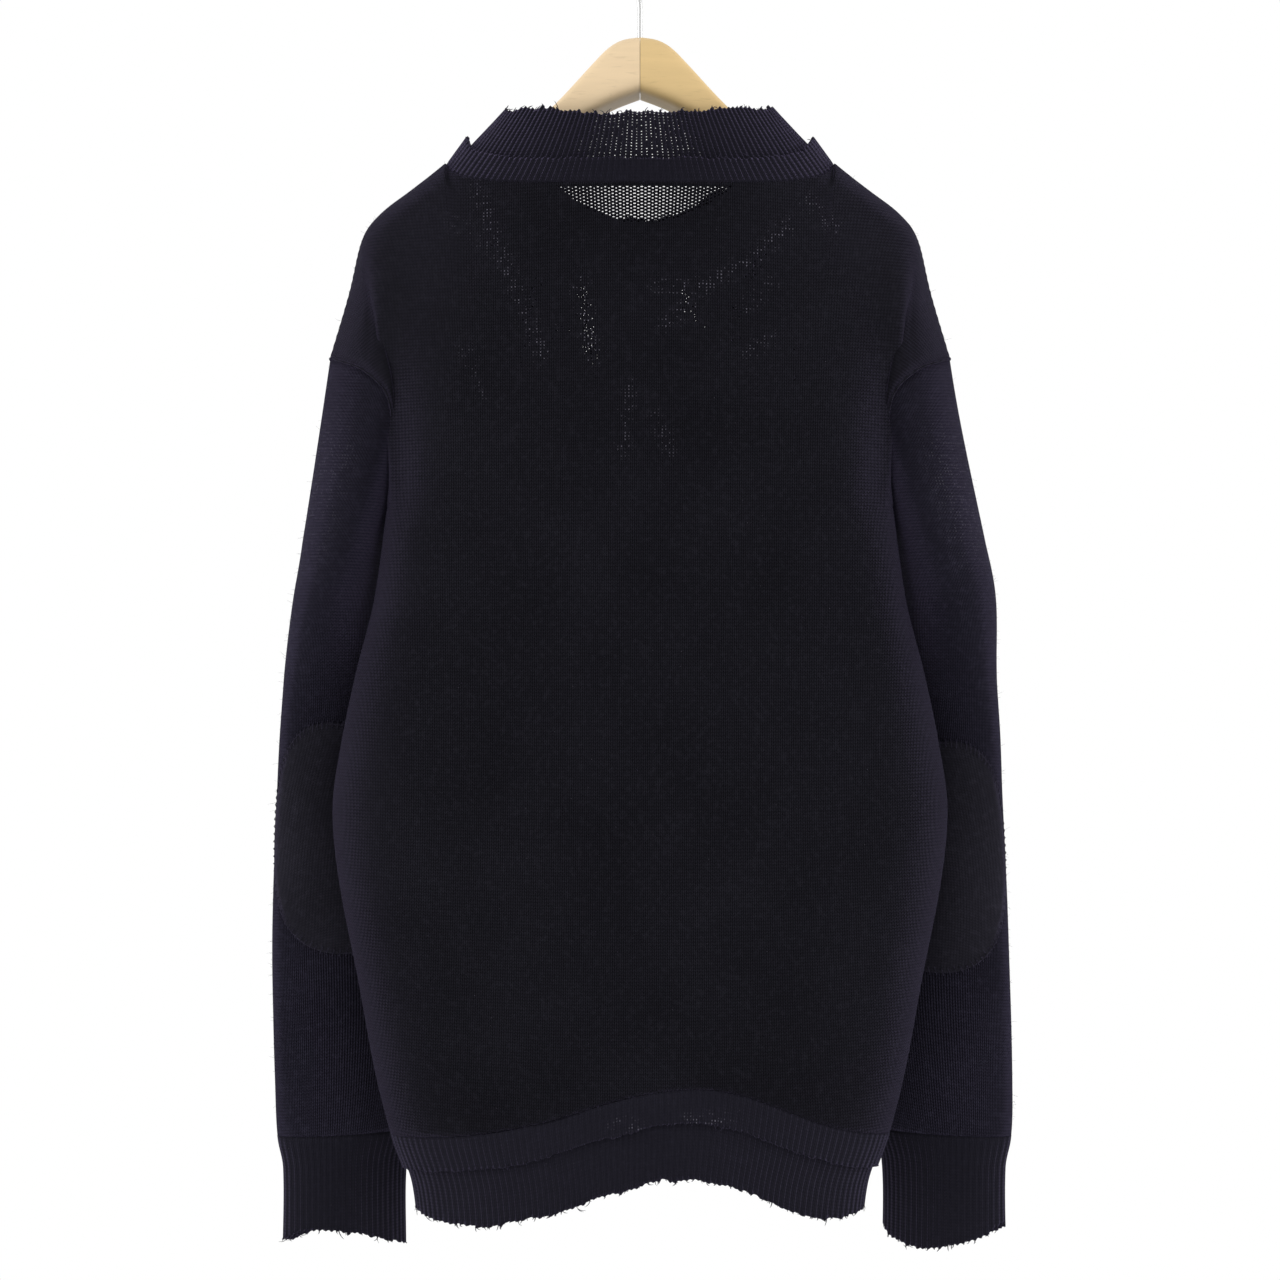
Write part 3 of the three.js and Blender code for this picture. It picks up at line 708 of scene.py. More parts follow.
# %% [markdown]
# ## Back and front
# The two panels meet at the shoulders and sides. Near the neck the grid has one cell for every stitch, so
# that a hole can be one dropped stitch. Soft cloth bridges the hollow beside the collar, so each row's
# depth is averaged over a hand's breadth in the yoke. Wide soft folds are added as a shallow wave of the
# whole wall, fading out at the seams.

# %% The panels' rows, columns and folds
NECK_BACK = -108.3
NECK_FRONT = -164.3
STITCHED_REACH = 70
SOFTENING = 15
chance = np.random.default_rng(11)


def panel_columns(reach, pitch, beyond):
    near = np.arange(0, reach + pitch / 2, pitch)
    shares = NECK_SHARE * np.arcsin(near / NECK_HALF_WIDTH) / (math.pi / 2)
    half = np.concatenate([shares, np.linspace(shares[-1], 1, beyond + 1)[1:]])
    return np.concatenate([-half[:0:-1], half])


def yoke_rows(top, levels):
    steps = np.sqrt((top - np.array(levels)) / (top - ARMPIT))
    return np.concatenate([steps[0] * np.arange(6) / 6, steps])


def body_folds(x, z):
    hang = smooth(-330, -520, z) * np.exp(-(((x - 55) / 60) ** 2)) * np.cos((x - 55) / 13)
    side = smooth(-300, -420, z) * smooth(-700, -560, z) * np.exp(-(((x + 138) / 20) ** 2))
    pull = smooth(-120, -240, z) * smooth(-460, -300, z) * np.sin((x + 0.35 * z) / 21)
    return 0.9 * hang - 1.6 * side + 0.7 * pull


def softened(x, y):
    """A row's depths, averaged over the width that soft cloth bridges."""
    even = np.arange(x.min(), x.max() + 1)
    depth = np.interp(even, x, y)
    reach = np.arange(-3 * SOFTENING, 3 * SOFTENING + 1)
    weights = np.exp(-((reach / SOFTENING) ** 2) / 2)
    padded = np.pad(depth, 3 * SOFTENING, mode="edge")
    return np.interp(x, even, np.convolve(padded, weights / weights.sum(), mode="valid"))


def panel_grid(shares, steps, falls, back, inset):
    share, step = np.meshgrid(shares, steps)
    upper = yoke(share, step, back, np.full(share.shape, float(inset)))
    share, fall = np.meshgrid(shares, falls)
    lower = lower_panel(share, fall, back, np.full(share.shape, float(inset)))
    grid = np.concatenate([upper, lower])
    calm = smooth(0.98, 0.7, np.abs(shares)) * smooth(2, 16, run_down(grid))
    soften = calm * smooth(-345, -300, grid[..., 2])
    for row, weight in zip(grid, soften):
        row[:, 1] = mix(row[:, 1], softened(row[:, 0], row[:, 1]), weight)
    grid[..., 1] += back * calm * body_folds(grid[..., 0], grid[..., 2]) * smooth(0, 60, run_down(grid))
    return grid


# %% The panels' grids
back_levels = np.concatenate([np.arange(-110.5, -250, -COURSE), np.linspace(-251, ARMPIT, 17)])
back_steps = yoke_rows(NECK_BACK, back_levels)
back_shares = panel_columns(STITCHED_REACH, WALE, 56)
back_falls = np.linspace(0, 1, 97)[1:]
back_outer = panel_grid(back_shares, back_steps, back_falls, 1, 0)
back_inner = panel_grid(back_shares, back_steps, back_falls, 1, CLOTH)
front_levels = np.concatenate([np.arange(-166.5, -262, -2.4), np.linspace(-265, ARMPIT, 14)])
front_steps = yoke_rows(NECK_FRONT, front_levels)
front_shares = panel_columns(STITCHED_REACH, WALE, 42)
front_falls = np.linspace(0, 1, 81)[1:]
front_outer = panel_grid(front_shares, front_steps, front_falls, -1, 0)
front_inner = panel_grid(front_shares, front_steps, front_falls, -1, CLOTH)
print("grids", back_outer.shape[:2], front_outer.shape[:2])

# %% [markdown]
# ## Thin and worn places
# A place that was rubbed is a line between two ends, with a number for how far it has thinned: the finish
# paints pale light into the gaps between the stitches there, as if it came through the thin wool. Under
# the collar the knit has worn to an open half moon, where the light comes through between the yarns. In a
# few streaks that follow the wales single stitches have gone as well, and there the front panel has an
# opening behind each one, or no light would reach it.

# %% Thin places
THIN_LINES = [
    (109, -111, 91, -157, 0.7), (91, -157, 64, -223, 0.8), (40, -175, 31, -223, 1.0),
    (126, -131, 95, -152, 0.4), (7, -241, 11, -285, 0.55), (-11, -263, -20, -285, 0.5),
    (-112, -119, -130, -135, 0.7), (-99, -135, -73, -162, 0.8), (-77, -157, -42, -177, 0.8),
    (-42, -177, -11, -177, 0.7), (-86, -175, -68, -192, 0.6), (-33, -188, -17, -201, 0.9),
    (-86, -210, -73, -219, 0.6), (117, -215, 104, -245, 0.4), (15, -732, 3, -735, 1.0),
    (-29, -731, -55, -730, 1.0),
]
THIN_REACH = 4.8


def thin_places(grid):
    at = grid[..., [0, 2]]
    thin = np.zeros(grid.shape[:2])
    for x0, z0, x1, z1, strength in THIN_LINES:
        start, step = np.array([x0, z0]), np.array([x1 - x0, z1 - z0])
        along = np.clip(((at - start) @ step) / (step @ step), 0, 1)
        away = np.linalg.norm(at - start - along[..., None] * step, axis=-1)
        thin = np.maximum(thin, strength * np.exp(-((away / THIN_REACH) ** 2)))
    return thin


def mark_thin(piece, thin):
    """Stores how far the wool has thinned at every point of the piece's outer face, where the finish paints
    light between the stitches.
    """
    values = np.zeros(len(piece.data.vertices), np.float32)
    values[: thin.size] = thin.ravel()
    layer = piece.data.attributes.new("thin", "FLOAT", "POINT")
    layer.data.foreach_set("value", values)


# %% The half moon
MOON_MIDDLE = -3
MOON_HALF_WIDTH = 60
MOON_TOP = -109.5
MOON_BOTTOM = -135
MOON_RISE = 26


def middles(grid):
    return (grid[:-1, :-1] + grid[1:, :-1] + grid[:-1, 1:] + grid[1:, 1:]) / 4


def half_moon(grid):
    """Every second stitch is wider open and sits higher, so that the yarns between them zigzag."""
    middle = middles(grid)
    x, z = middle[..., 0] - MOON_MIDDLE, middle[..., 2]
    border = MOON_BOTTOM + MOON_RISE * (x / MOON_HALF_WIDTH) ** 2
    row, column = np.nonzero((z > border) & (z < MOON_TOP) & (np.abs(x) < MOON_HALF_WIDTH + 1))
    strong = np.where(column % 2 == 0, 0.34, 0.26)
    size = strong * chance.uniform(0.8, 1.1, len(row))
    offset = np.where(column % 2 == 0, 0.3, 0.7)
    return row, column, np.full(len(row), 0.5), offset, size, np.full(len(row), 0.24)


# %% Worn streaks
WORN_STREAKS = [
    (38, -177, 32, -226, 70), (67, -170, 79, -226, 24), (95, -140, 100, -150, 5),
    (-30, -181, -38, -206, 16), (-71, -170, -92, -142, 26), (-62, -180, -66, -214, 8),
    (-100, -210, -104, -240, 4), (50, -196, 54, -214, 4),
]
STREAK_SCATTER = 2.2


def streak_points():
    spots = []
    for x0, z0, x1, z1, count in WORN_STREAKS:
        t = chance.uniform(0, 1, count)
        line = np.stack([mix(x0, x1, t), mix(z0, z1, t)], 1)
        spots.append(line + chance.normal(0, STREAK_SCATTER, (count, 2)))
    return np.concatenate(spots)


def cells_at(grid, spots, half):
    """The cell of every spot, and an opening in it that is twice half wide, in millimetres."""
    middle = middles(grid)
    found = []
    for x, z in spots:
        distance = (middle[..., 0] - x) ** 2 + (middle[..., 2] - z) ** 2
        row, column = np.unravel_index(np.argmin(distance), distance.shape)
        wide = grid[row, column + 1, 0] - grid[row, column, 0]
        tall = grid[row + 1, column, 2] - grid[row, column, 2]
        s = (x - grid[row, column, 0]) / wide
        t = (z - grid[row, column, 2]) / tall
        w, h = min(half / abs(wide), 0.4), min(half / abs(tall), 0.4)
        s, t = np.clip(s, w + 0.06, 0.94 - w), np.clip(t, h + 0.06, 0.94 - h)
        found.append((row, column, s, t, w, h))
    return tuple(np.array(v) for v in zip(*found))


def holes_of(*groups):
    """Joins groups of openings and keeps one to a cell."""
    merged = [np.concatenate(parts) for parts in zip(*groups)]
    keys = merged[0] * 10000 + merged[1]
    first = np.unique(keys, return_index=True)[1]
    row, column, s, t, wide, tall = (part[first] for part in merged)
    return {"row": row.astype(int), "column": column.astype(int), "s": s, "t": t, "wide": wide, "tall": tall}


# %% Openings behind the streaks
def depth_at(grid, spots):
    x, depth, z = np.moveaxis(middles(grid), -1, 0)
    nearest = [np.argmin(np.hypot(x - spot_x, z - spot_z)) for spot_x, spot_z in spots]
    return depth.flat[nearest]


def seen_behind(spots, near_grid, far_grid):
    """Where a straight look from the camera through each spot meets the cloth behind."""
    away = CAMERA_DISTANCE / MM
    level = EYE_LEVEL / MM - ARCH_TOP
    near = depth_at(near_grid, spots)
    behind = spots
    for _ in range(3):
        zoom = (away - depth_at(far_grid, behind)) / (away - near)
        behind = np.stack([spots[:, 0] * zoom, level + (spots[:, 1] - level) * zoom], 1)
    return behind


spots = streak_points()
behind = seen_behind(spots, back_outer, front_outer)
front_neck = np.interp(behind[:, 0], front_outer[0, :, 0], front_outer[0, :, 2])
on_front = behind[:, 1] < front_neck - 3
spots, behind = spots[on_front], behind[on_front]
back_holes = holes_of(half_moon(back_outer), cells_at(back_outer, spots, 0.42))
front_holes = holes_of(cells_at(front_outer, behind, 1.0))

# %% Back and front panels
ARMS = ["hanger_arm_left", "hanger_arm_right"]
back_rows = len(back_steps)
front_rows = len(front_steps)
back_map = panel_map(back_outer, back_rows)
front_map = panel_map(front_outer, front_rows)
back_panel = cloth_wall("back_panel", back_outer, back_inner, back_map, jersey, holes=back_holes)
declare(back_panel, back_outer, False, ARMS, "back_yoke", "back_body", from_row=back_rows)
mark_thin(back_panel, thin_places(back_outer))
front_panel = cloth_wall("front_panel", front_outer, front_inner, front_map, jersey, holes=front_holes)
declare(front_panel, front_outer, False, ARMS, "front_yoke", "front_body", from_row=front_rows)

# %% [markdown]
# ## Sleeves
# A sleeve is a tube that is sewn into the dropped armhole and hangs in front of the body, so its wide
# side is seen on edge. A few long folds run down it. They belong to the form and not to the finish, and
# the darned patch on the elbow uses the same folds, so that it lies on the sleeve everywhere.

# %% Two sleeves
SLEEVE_WALES = 98
SLEEVE_COLUMNS = 96
SLEEVE_ROWS = 166
SLEEVE_LEVEL_ROW = 40
SLEEVE_THIN = 0.45


def sleeve_folds(wearer, turns, along):
    down = smooth(0.06, 0.3, along) * smooth(1, 0.85, along)
    swirl = np.sin(2 * math.pi * (3 * turns + 0.8 * along) + wearer["phase"])
    crease = np.sin(2 * math.pi * (2 * turns - 3.1 * along) + 2 * wearer["phase"])
    down = down * (1 - 0.7 * np.maximum(np.cos(2 * math.pi * turns), 0))
    return down * (0.9 * swirl + 0.5 * crease * smooth(0.3, 0.5, along) * smooth(0.85, 0.65, along))


def folded_sleeve(wearer, turns, along, inset):
    return sleeve(wearer, turns, along, inset + sleeve_folds(wearer, turns, along))


sleeve_grids = {}
for wearer in (LEFT, RIGHT):
    turns, along = np.meshgrid(np.arange(SLEEVE_COLUMNS) / SLEEVE_COLUMNS, np.linspace(0, 1, SLEEVE_ROWS))
    sleeve_outer = folded_sleeve(wearer, turns, along, 0)
    sleeve_inner = folded_sleeve(wearer, turns, along, CLOTH)
    around = np.linspace(0, SLEEVE_WALES, SLEEVE_COLUMNS + 1)
    sleeve_map = ring_map(sleeve_outer, around, SLEEVE_LEVEL_ROW)
    name = wearer["name"]
    sleeve_grids[name] = sleeve_outer
    tube = cloth_wall(f"sleeve_{name}", sleeve_outer, sleeve_inner, sleeve_map, side_lit_sleeve_jersey, ring=True)
    # Near the top of the sleeve, on its outer side, the wool is thin and the finish paints light between its
    # stitches.
    outside = smooth(0.3, 0.9, np.cos(2 * math.pi * turns - 0.5))
    rubbed = smooth(0.02, 0.06, along) * smooth(0.2, 0.1, along) * outside
    mark_thin(tube, SLEEVE_THIN * rubbed)
    declare(tube, sleeve_outer, True, ["back_panel"], f"upper_sleeve_{name}", f"lower_sleeve_{name}")

# %% [markdown]
# ## Ribs
# Ribbing is knitted one stitch out, one stitch back, so it stands in narrow ridges with dark grooves
# between. A bump alone would leave its edge straight. Here each rib has six columns of points that are
# pushed out and in together on both faces, like a pleat, and the cell in the groove is wider than the
# others, so that it can be cut open where the wool has thinned. The free edge is not straight either: a
# raw edge reaches a little further on each ridge and wanders by a stitch or two, and the inner hem's is
# drawn up over the side seams.

# %% A ribbed band
RIB_PITCH = 4.1
RIB_PHASES = np.array([0.14, 0.26, 0.42, 0.58, 0.74, 0.86])
RIB_THICK = 1.9
RIB_HEIGHT = 0.35


def rib_columns(curve, low, high):
    ribs = round(length_of(curve, low, high) / RIB_PITCH)
    phases = (np.arange(ribs)[:, None] + RIB_PHASES).ravel()
    return evenly(curve, low, high, phases / ribs), phases


def ragged(phases, ridge, wander, seed):
    """How far a raw edge reaches past its line: at random by the rib and by five ribs, and by ridge."""
    rough = np.random.default_rng(seed)
    ribs = int(phases[-1]) + 1
    levels = rough.normal(0, wander, ribs) + np.repeat(rough.normal(0, wander, ribs // 5 + 1), 5)[:ribs]
    around = np.interp(phases - 0.5, np.arange(-1, ribs + 1), levels[np.arange(-1, ribs + 1) % ribs])
    return around - ridge * np.cos(2 * math.pi * phases)


def ribbed_band(name, place, columns, phases, rows, edge, groove=None, finish=ribbing):
    """place(columns, fall, inset) gives the band; fall runs from its sewn side, 0, to its free edge, 1."""
    fall = np.linspace(0, 1, rows)
    column, fall = np.meshgrid(columns, fall)
    length = np.linalg.norm(place(column[-1:], fall[-1:], 0) - place(column[:1], fall[:1], 0), axis=2)
    fall = fall * (1 + edge[None, :] / length)
    swell = smooth(0, 0.12, fall) * 0.6 + 0.4
    pleat = RIB_HEIGHT * swell * np.cos(2 * math.pi * phases)[None, :]
    outer = place(column, fall, pleat)
    inner = place(column, fall, pleat + RIB_THICK)
    groove_width = 1 + RIB_PHASES[0] - RIB_PHASES[-1]
    across = np.concatenate([phases, [phases[-1] + groove_width]]) * 2 - 0.5
    holes = None if groove is None else groove(outer)
    band = cloth_wall(name, outer, inner, ring_map(outer, across), finish, ring=True, holes=holes)
    return band, outer


# %% Collars
WORN_AT_FOOT = 78
WORN_AT_EDGE = 50
WORN_SHARE = 0.8


def collar_foot(angle):
    return neck_ring(angle, np.zeros_like(angle))


def worn_grooves(outer):
    cells = middles(np.concatenate([outer, outer[:, :1]], axis=1))
    groove = np.arange(cells.shape[1]) % len(RIB_PHASES) == len(RIB_PHASES) - 1
    x, y = cells[..., 0], cells[..., 1]
    down = np.linspace(1, 0, cells.shape[0])[:, None]
    reach = mix(WORN_AT_EDGE, WORN_AT_FOOT, down)
    worn = WORN_SHARE * smooth(reach, reach * 0.6, np.abs(x - 1)) * (y > 0) * groove[None, :]
    row, column = np.nonzero(chance.uniform(0, 1, x.shape) < worn)
    size = chance.uniform(0.28, 0.46, len(row))
    even = np.full(len(row), 0.5)
    return {"row": row, "column": column, "s": even, "t": even, "wide": size, "tall": size * 0.5}


PANELS = ["back_panel", "front_panel"]
angles, phases = rib_columns(collar_foot, 0, 2 * math.pi)
edge = ragged(phases, 0.45, 0.8, 4)
collar_inner, inner_grid = ribbed_band(
    "inner_collar_ribs", inner_collar, angles, phases, 25, edge, worn_grooves, collar_ribbing,
)
declare(collar_inner, inner_grid, True, PANELS, "collar_inner")
edge = ragged(phases, 0.35, 0.45, 3)
collar_outer, outer_grid = ribbed_band(
    "outer_collar_ribs", outer_collar, angles, phases, 12, edge, None, collar_ribbing,
)
declare(collar_outer, outer_grid, True, ["inner_collar_ribs"], "collar_outer")

# %% Hems
CORNER_RISE = 11
CORNER_REACH = 0.15


def hem_foot(around):
    return outer_hem(around, np.ones_like(around), np.zeros_like(around))


arounds, hem_phases = rib_columns(hem_foot, 0, 2)
edge = ragged(hem_phases, 0.3, 0.4, 5)
hem_outer, hem_outer_grid = ribbed_band("outer_hem_ribs", outer_hem, arounds, hem_phases, 9, edge)
# Painted light between the stitches where the hem is thin, on its back.
mark_thin(hem_outer, thin_places(hem_outer_grid) * (hem_outer_grid[..., 1] > 0))
declare(hem_outer, hem_outer_grid, True, PANELS, "hem_outer")
to_seam = np.abs((arounds + 0.5) % 1 - 0.5)
edge = ragged(hem_phases, 0.35, 0.7, 6) - CORNER_RISE * np.exp(-((to_seam / CORNER_REACH) ** 2))
hem_inner, hem_inner_grid = ribbed_band("inner_hem_ribs", inner_hem, arounds, hem_phases, 16, edge)
declare(hem_inner, hem_inner_grid, True, ["outer_hem_ribs"], "hem_inner")

# %% Cuffs
cuff_grids = {}
for wearer in (LEFT, RIGHT):
    place = partial(cuff, wearer)
    turns, phases = rib_columns(lambda turn: place(turn, np.full_like(turn, 0.5), 0), 0, 1)
    edge = ragged(phases, 0.5, 0.8, 7 + wearer["side"])
    name = wearer["name"]
    band, cuff_grids[name] = ribbed_band(f"cuff_ribs_{name}", place, turns, phases, 28, edge)
    declare(band, cuff_grids[name], True, [f"sleeve_{name}"], f"cuff_{name}")

# %% [markdown]
# ## The darned elbows
# Each elbow is covered by an oval of finer knit, tone on tone, held by small slanting stitches over its
# edge. A square grid is squeezed into the oval, because a grid without a middle point shades evenly. It
# lies a hair off the sleeve and repeats its folds. The holding stitches are short bent yarns, one every
# few millimetres. A yarn is a thin tube along a path. Many share one mesh, and the same function makes
# the seams, the fuzz and the frayed ends further down.

# %% Yarns in one mesh
def yarns(name, paths, radii, finish, sides=4):
    """Tubes along many paths in one mesh; radii holds one for each point of each path."""
    tangent = unit(np.gradient(paths, axis=1))
    helper = np.where(np.abs(tangent[..., 2:3]) > 0.8, np.array([1.0, 0, 0]), np.array([0, 0, 1.0]))
    first = unit(np.cross(tangent, helper))
    second = np.cross(tangent, first)
    angle = np.arange(sides) * 2 * math.pi / sides
    ring = first[..., None, :] * np.cos(angle)[:, None] + second[..., None, :] * np.sin(angle)[:, None]
    corners = paths[:, :, None, :] + ring * radii[..., None, None]
    count, along = paths.shape[:2]
    index = np.arange(count * along * sides).reshape(count, along, sides)
    near = np.roll(index, -1, axis=2)
    walls = np.stack([index[:, :-1], index[:, 1:], near[:, 1:], near[:, :-1]], axis=-1).reshape(-1, 4)
    faces = walls.tolist() + index[:, 0].tolist() + index[:, -1, ::-1].tolist()
    u = np.arange(sum(len(face) for face in faces))
    flat = np.stack([u % 4 / 4, u // 4 % 7 / 7], axis=-1)
    piece = new_piece(name, corners.reshape(-1, 3), faces, finish, flat)
    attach(piece, "root")
    bpy.context.view_layer.objects.active = piece
    piece.select_set(True)
    bpy.ops.object.mode_set(mode="EDIT")
    bpy.ops.mesh.select_all(action="SELECT")
    bpy.ops.mesh.normals_make_consistent(inside=False)
    bpy.ops.object.mode_set(mode="OBJECT")
    piece.select_set(False)
    print(name, "yarns", count)


# %% Patches and their holding stitches
DARN_TURNS = 0.28
DARN_HALF_TURNS = 0.185
DARN_HALF_ALONG = 0.173
DARN_CLOTH = 1.6
DARN_WALE = 2.1
DARN_COURSE = 1.9
HOLDING_STITCHES = 96
HOLDING_YARN = 0.34
HOLDING_SLANT = 0.022


def on_darn(wearer, a, b, inset):
    turns = DARN_TURNS + DARN_HALF_TURNS * a
    along = wearer["darn"] + DARN_HALF_ALONG * b
    return folded_sleeve(wearer, turns, along, inset)


for wearer in (LEFT, RIGHT):
    a, b = np.meshgrid(np.linspace(-1, 1, 46), np.linspace(-1, 1, 60))
    oval_a = a * np.sqrt(1 - b**2 / 2)
    oval_b = b * np.sqrt(1 - a**2 / 2)
    edge_down = 0.9 * smooth(0.9, 1, np.hypot(oval_a, oval_b))
    patch_outer = on_darn(wearer, oval_a, oval_b, edge_down - SEAM - DARN_CLOTH)
    patch_inner = on_darn(wearer, oval_a, oval_b, -SEAM)
    darn_map = np.stack([run_across(patch_outer) / DARN_WALE, run_down(patch_outer) / DARN_COURSE], axis=-1)
    name = wearer["name"]
    patch = cloth_wall(f"elbow_darn_{name}", patch_outer, patch_inner, darn_map, darning)
    angle = (np.arange(HOLDING_STITCHES) + 0.5) / HOLDING_STITCHES * 2 * math.pi
    out = np.linspace(0.945, 1.02, 5)
    spin = angle[:, None] + np.linspace(0, HOLDING_SLANT, 5)
    lift = np.array([0.5, 0.17, 0.17, 0.8, 1.9])
    paths = on_darn(wearer, out * np.cos(spin), out * np.sin(spin), lift - SEAM - DARN_CLOTH)
    yarns(f"darning_stitches_{name}", paths, np.full(paths.shape[:2], HOLDING_YARN), darning)
    declare(patch, patch_outer, False, [f"sleeve_{name}"], f"elbow_patch_{name}")

# %% [markdown]
# ## Seams
# Knitted pieces are linked together stitch by stitch, and the joint stands up as a narrow roll. Without
# it the edges would meet in a bare slit. A seam is one long yarn that follows the line two pieces share:
# over the shoulder, round the armhole, and down the side.

# %% Linked seams
SEAM_ROLL = 1.15


def seam_roll(name, line):
    beads = 1 + 0.12 * np.cos(np.arange(len(line)) * math.pi)
    yarns(name, line[None], (SEAM_ROLL * beads)[None], jersey, sides=8)


for wearer in (LEFT, RIGHT):
    flip = np.array([wearer["side"], 1, 1])
    name = wearer["name"]
    seam_roll(f"armhole_seam_{name}", armhole(np.linspace(0, 1, 201), np.full(201, 0.5)) * flip)
    seam_roll(f"shoulder_seam_{name}", shoulder(np.linspace(0.02, 1, 90), np.full(90, 0.7)) * flip)
    down = np.linspace(ARMPIT, BODY_END, 200)
    seam_roll(f"side_seam_{name}", torso(np.ones(200), down, 1, np.full(200, 1.0)) * flip)

# %% [markdown]
# ## Fuzz
# Worn wool grows a fine halo of loose fibres, which shows wherever the cloth turns away against a pale
# wall. The sheen of the finish gives its light, and a few thousand real fibres give its broken edge. Each
# is a hair of an eighth of a millimetre, rooted in the cloth and bent at random.

# %% Loose fibres
FIBRE = 0.065


def fuzz(name, grid, count, seed):
    rough = np.random.default_rng(seed)
    row = rough.integers(1, grid.shape[0] - 2, count)
    column = rough.integers(1, grid.shape[1] - 2, count)
    corner = grid[row, column]
    beside = grid[row, column + 1] - corner
    below = grid[row + 1, column] - corner
    out = np.cross(beside, below)
    centre = grid.mean(axis=(0, 1))
    out = unit(np.where((out * (corner - centre)).sum(1, keepdims=True) < 0, -out, out))
    start = corner + beside * rough.uniform(0, 1, (count, 1)) + below * rough.uniform(0, 1, (count, 1))
    lean = rough.normal(0, 0.75, (count, 3))
    bend = rough.normal(0, 0.6, (count, 3))
    size = rough.uniform(0.8, 2.4, (count, 1, 1))
    t = np.array([-0.15, 0.35, 0.7, 1.0])
    paths = start[:, None] + size * (out[:, None] * t[:, None] + lean[:, None] * t[:, None] * 0.7)
    paths += size * bend[:, None] * (t**2)[:, None] * 0.6
    radii = np.broadcast_to(FIBRE * np.array([1, 1, 0.8, 0.4]), (count, 4))
    yarns(name, paths, radii, jersey, sides=3)


fuzz("fuzz_back", back_outer, 2200, 31)
fuzz("fuzz_front", front_outer, 1800, 32)
for name, grid in sleeve_grids.items():
    fuzz(f"fuzz_sleeve_{name}", grid, 1500, 33 + len(name))

# %% [markdown]
# ## Frayed edges
# Where a rib was cut and never bound off, loops have run and short ends of yarn stand out. They are
# modelled as thin tapering yarns, scattered along the raw edges of the collar, hem and cuffs. Each starts
# inside the cloth, leans out of the edge and curls. They are small, but against a pale wall they make the
# edge read as wool.

# %% Yarn ends along the raw edges
def frayed(name, grid, count, reach, seed):
    rough = np.random.default_rng(seed)
    columns = rough.integers(0, grid.shape[1], count)
    start = grid[-1, columns]
    out = unit(grid[-1, columns] - grid[-3, columns])
    side = unit(grid[-1, (columns + 4) % grid.shape[1]] - start)
    face = np.cross(side, out)
    size = reach * rough.gamma(2.2, 0.45, count)
    lean = rough.normal(0, 0.6, count)
    curl = rough.normal(0, 0.9, count)
    puff = rough.normal(0, 0.35, count)
    t = np.linspace(-0.25, 1, 6)
    straight = out[:, None] * (t * (1.1 - 0.35 * np.abs(t)))[None, :, None]
    sideways = side[:, None] * (lean[:, None] * t + curl[:, None] * t**2)[..., None]
    facing = face[:, None] * (puff[:, None] * t - 0.1)[..., None]
    paths = start[:, None] + size[:, None, None] * (straight + 0.7 * sideways + facing)
    radii = np.interp(t, [-0.25, 0.6, 1], [0.38, 0.26, 0.08])[None] * rough.uniform(0.7, 1.2, (count, 1))
    yarns(name, paths, radii, ribbing)


frayed("collar_yarn_ends", inner_grid, 140, 1.7, 21)
frayed("outer_collar_yarn_ends", outer_grid, 90, 1.2, 22)
frayed("hem_yarn_ends", hem_inner_grid, 200, 1.9, 23)
frayed("outer_hem_yarn_ends", hem_outer_grid, 80, 1.1, 24)
for name, grid in cuff_grids.items():
    frayed(f"cuff_yarn_ends_{name}", grid, 70, 1.8, 25 + len(name))

# %% [markdown]
# ## The hanger
# Two arms of light hardwood meet at a mitred joint on top, each cut from a flat board with its edges
# rounded. An arm is modelled by hand: a circle is pressed to the rounded shape of the joint, and extruded
# outwards from station to station, moved and scaled at each one. The grain runs along the arm, so the
# finish is turned with it. The right arm's tone is darker than the left's, which is painted shade for the
# way the two halves of the joint face the light.

# %% Wood
ARM_SLOPE = 0.72


def beech(name, tone, side):
    finish = Finish(name)
    place = finish.nodes.new("ShaderNodeTexCoord").outputs["Object"]
    turn = (0, -side * ARM_SLOPE, 0)
    turned = finish.add("Mapping", Vector=place, Rotation=turn, Scale=(5, 60, 60))
    grain = finish.add(
        "TexNoise", Vector=turned.outputs[0], Scale=2.2, Detail=8, Roughness=0.6, Distortion=0.4,
    )
    fleck_place = finish.add("Mapping", Vector=place, Rotation=turn, Scale=(90, 700, 700))
    fleck = finish.add("TexNoise", Vector=fleck_place.outputs[0], Scale=1, Detail=2)
    dark = tuple(v * 0.93 for v in tone)
    colour = finish.blend(finish.steps(grain.outputs[0], 0.35, 0.65), (*dark, 1), (*tone, 1))
    darker = tuple(v * 0.72 for v in tone)
    marks = finish.times(finish.steps(fleck.outputs[0], 0.6, 0.72), 0.35)
    colour = finish.blend(marks, colour, (*darker, 1))
    finish.link(colour, finish.shader.inputs["Base Color"])
    bump = finish.add("Bump", Height=grain.outputs[0], Strength=0.15, Distance=0.0004)
    finish.link(bump.outputs[0], finish.shader.inputs["Normal"])
    finish.shader.inputs["Roughness"].default_value = 0.5
    finish.shader.inputs["Specular IOR Level"].default_value = 0.3
    return finish.material


arm_outline = through([
    [0, -3.5, -41, 21], [12, -5.5, -45.5, 21], [21, -10.5, -49.5, 21], [31, -20.5, -55, 21],
    [52, -43.5, -67, 20.5], [66, -57, -78, 19], [90, -78, -98, 17], [120, -101, -121, 16.5],
    [150, -119, -139, 16.5], [170, -131, -149, 16], [179, -139, -153, 13], [184, -145, -153, 8],
])
# The right arm's darker tone is painted shade.
WOOD_TONES_WITH_PAINTED_SHADE = {"left": (0.73, 0.56, 0.355), "right": (0.65, 0.465, 0.222)}

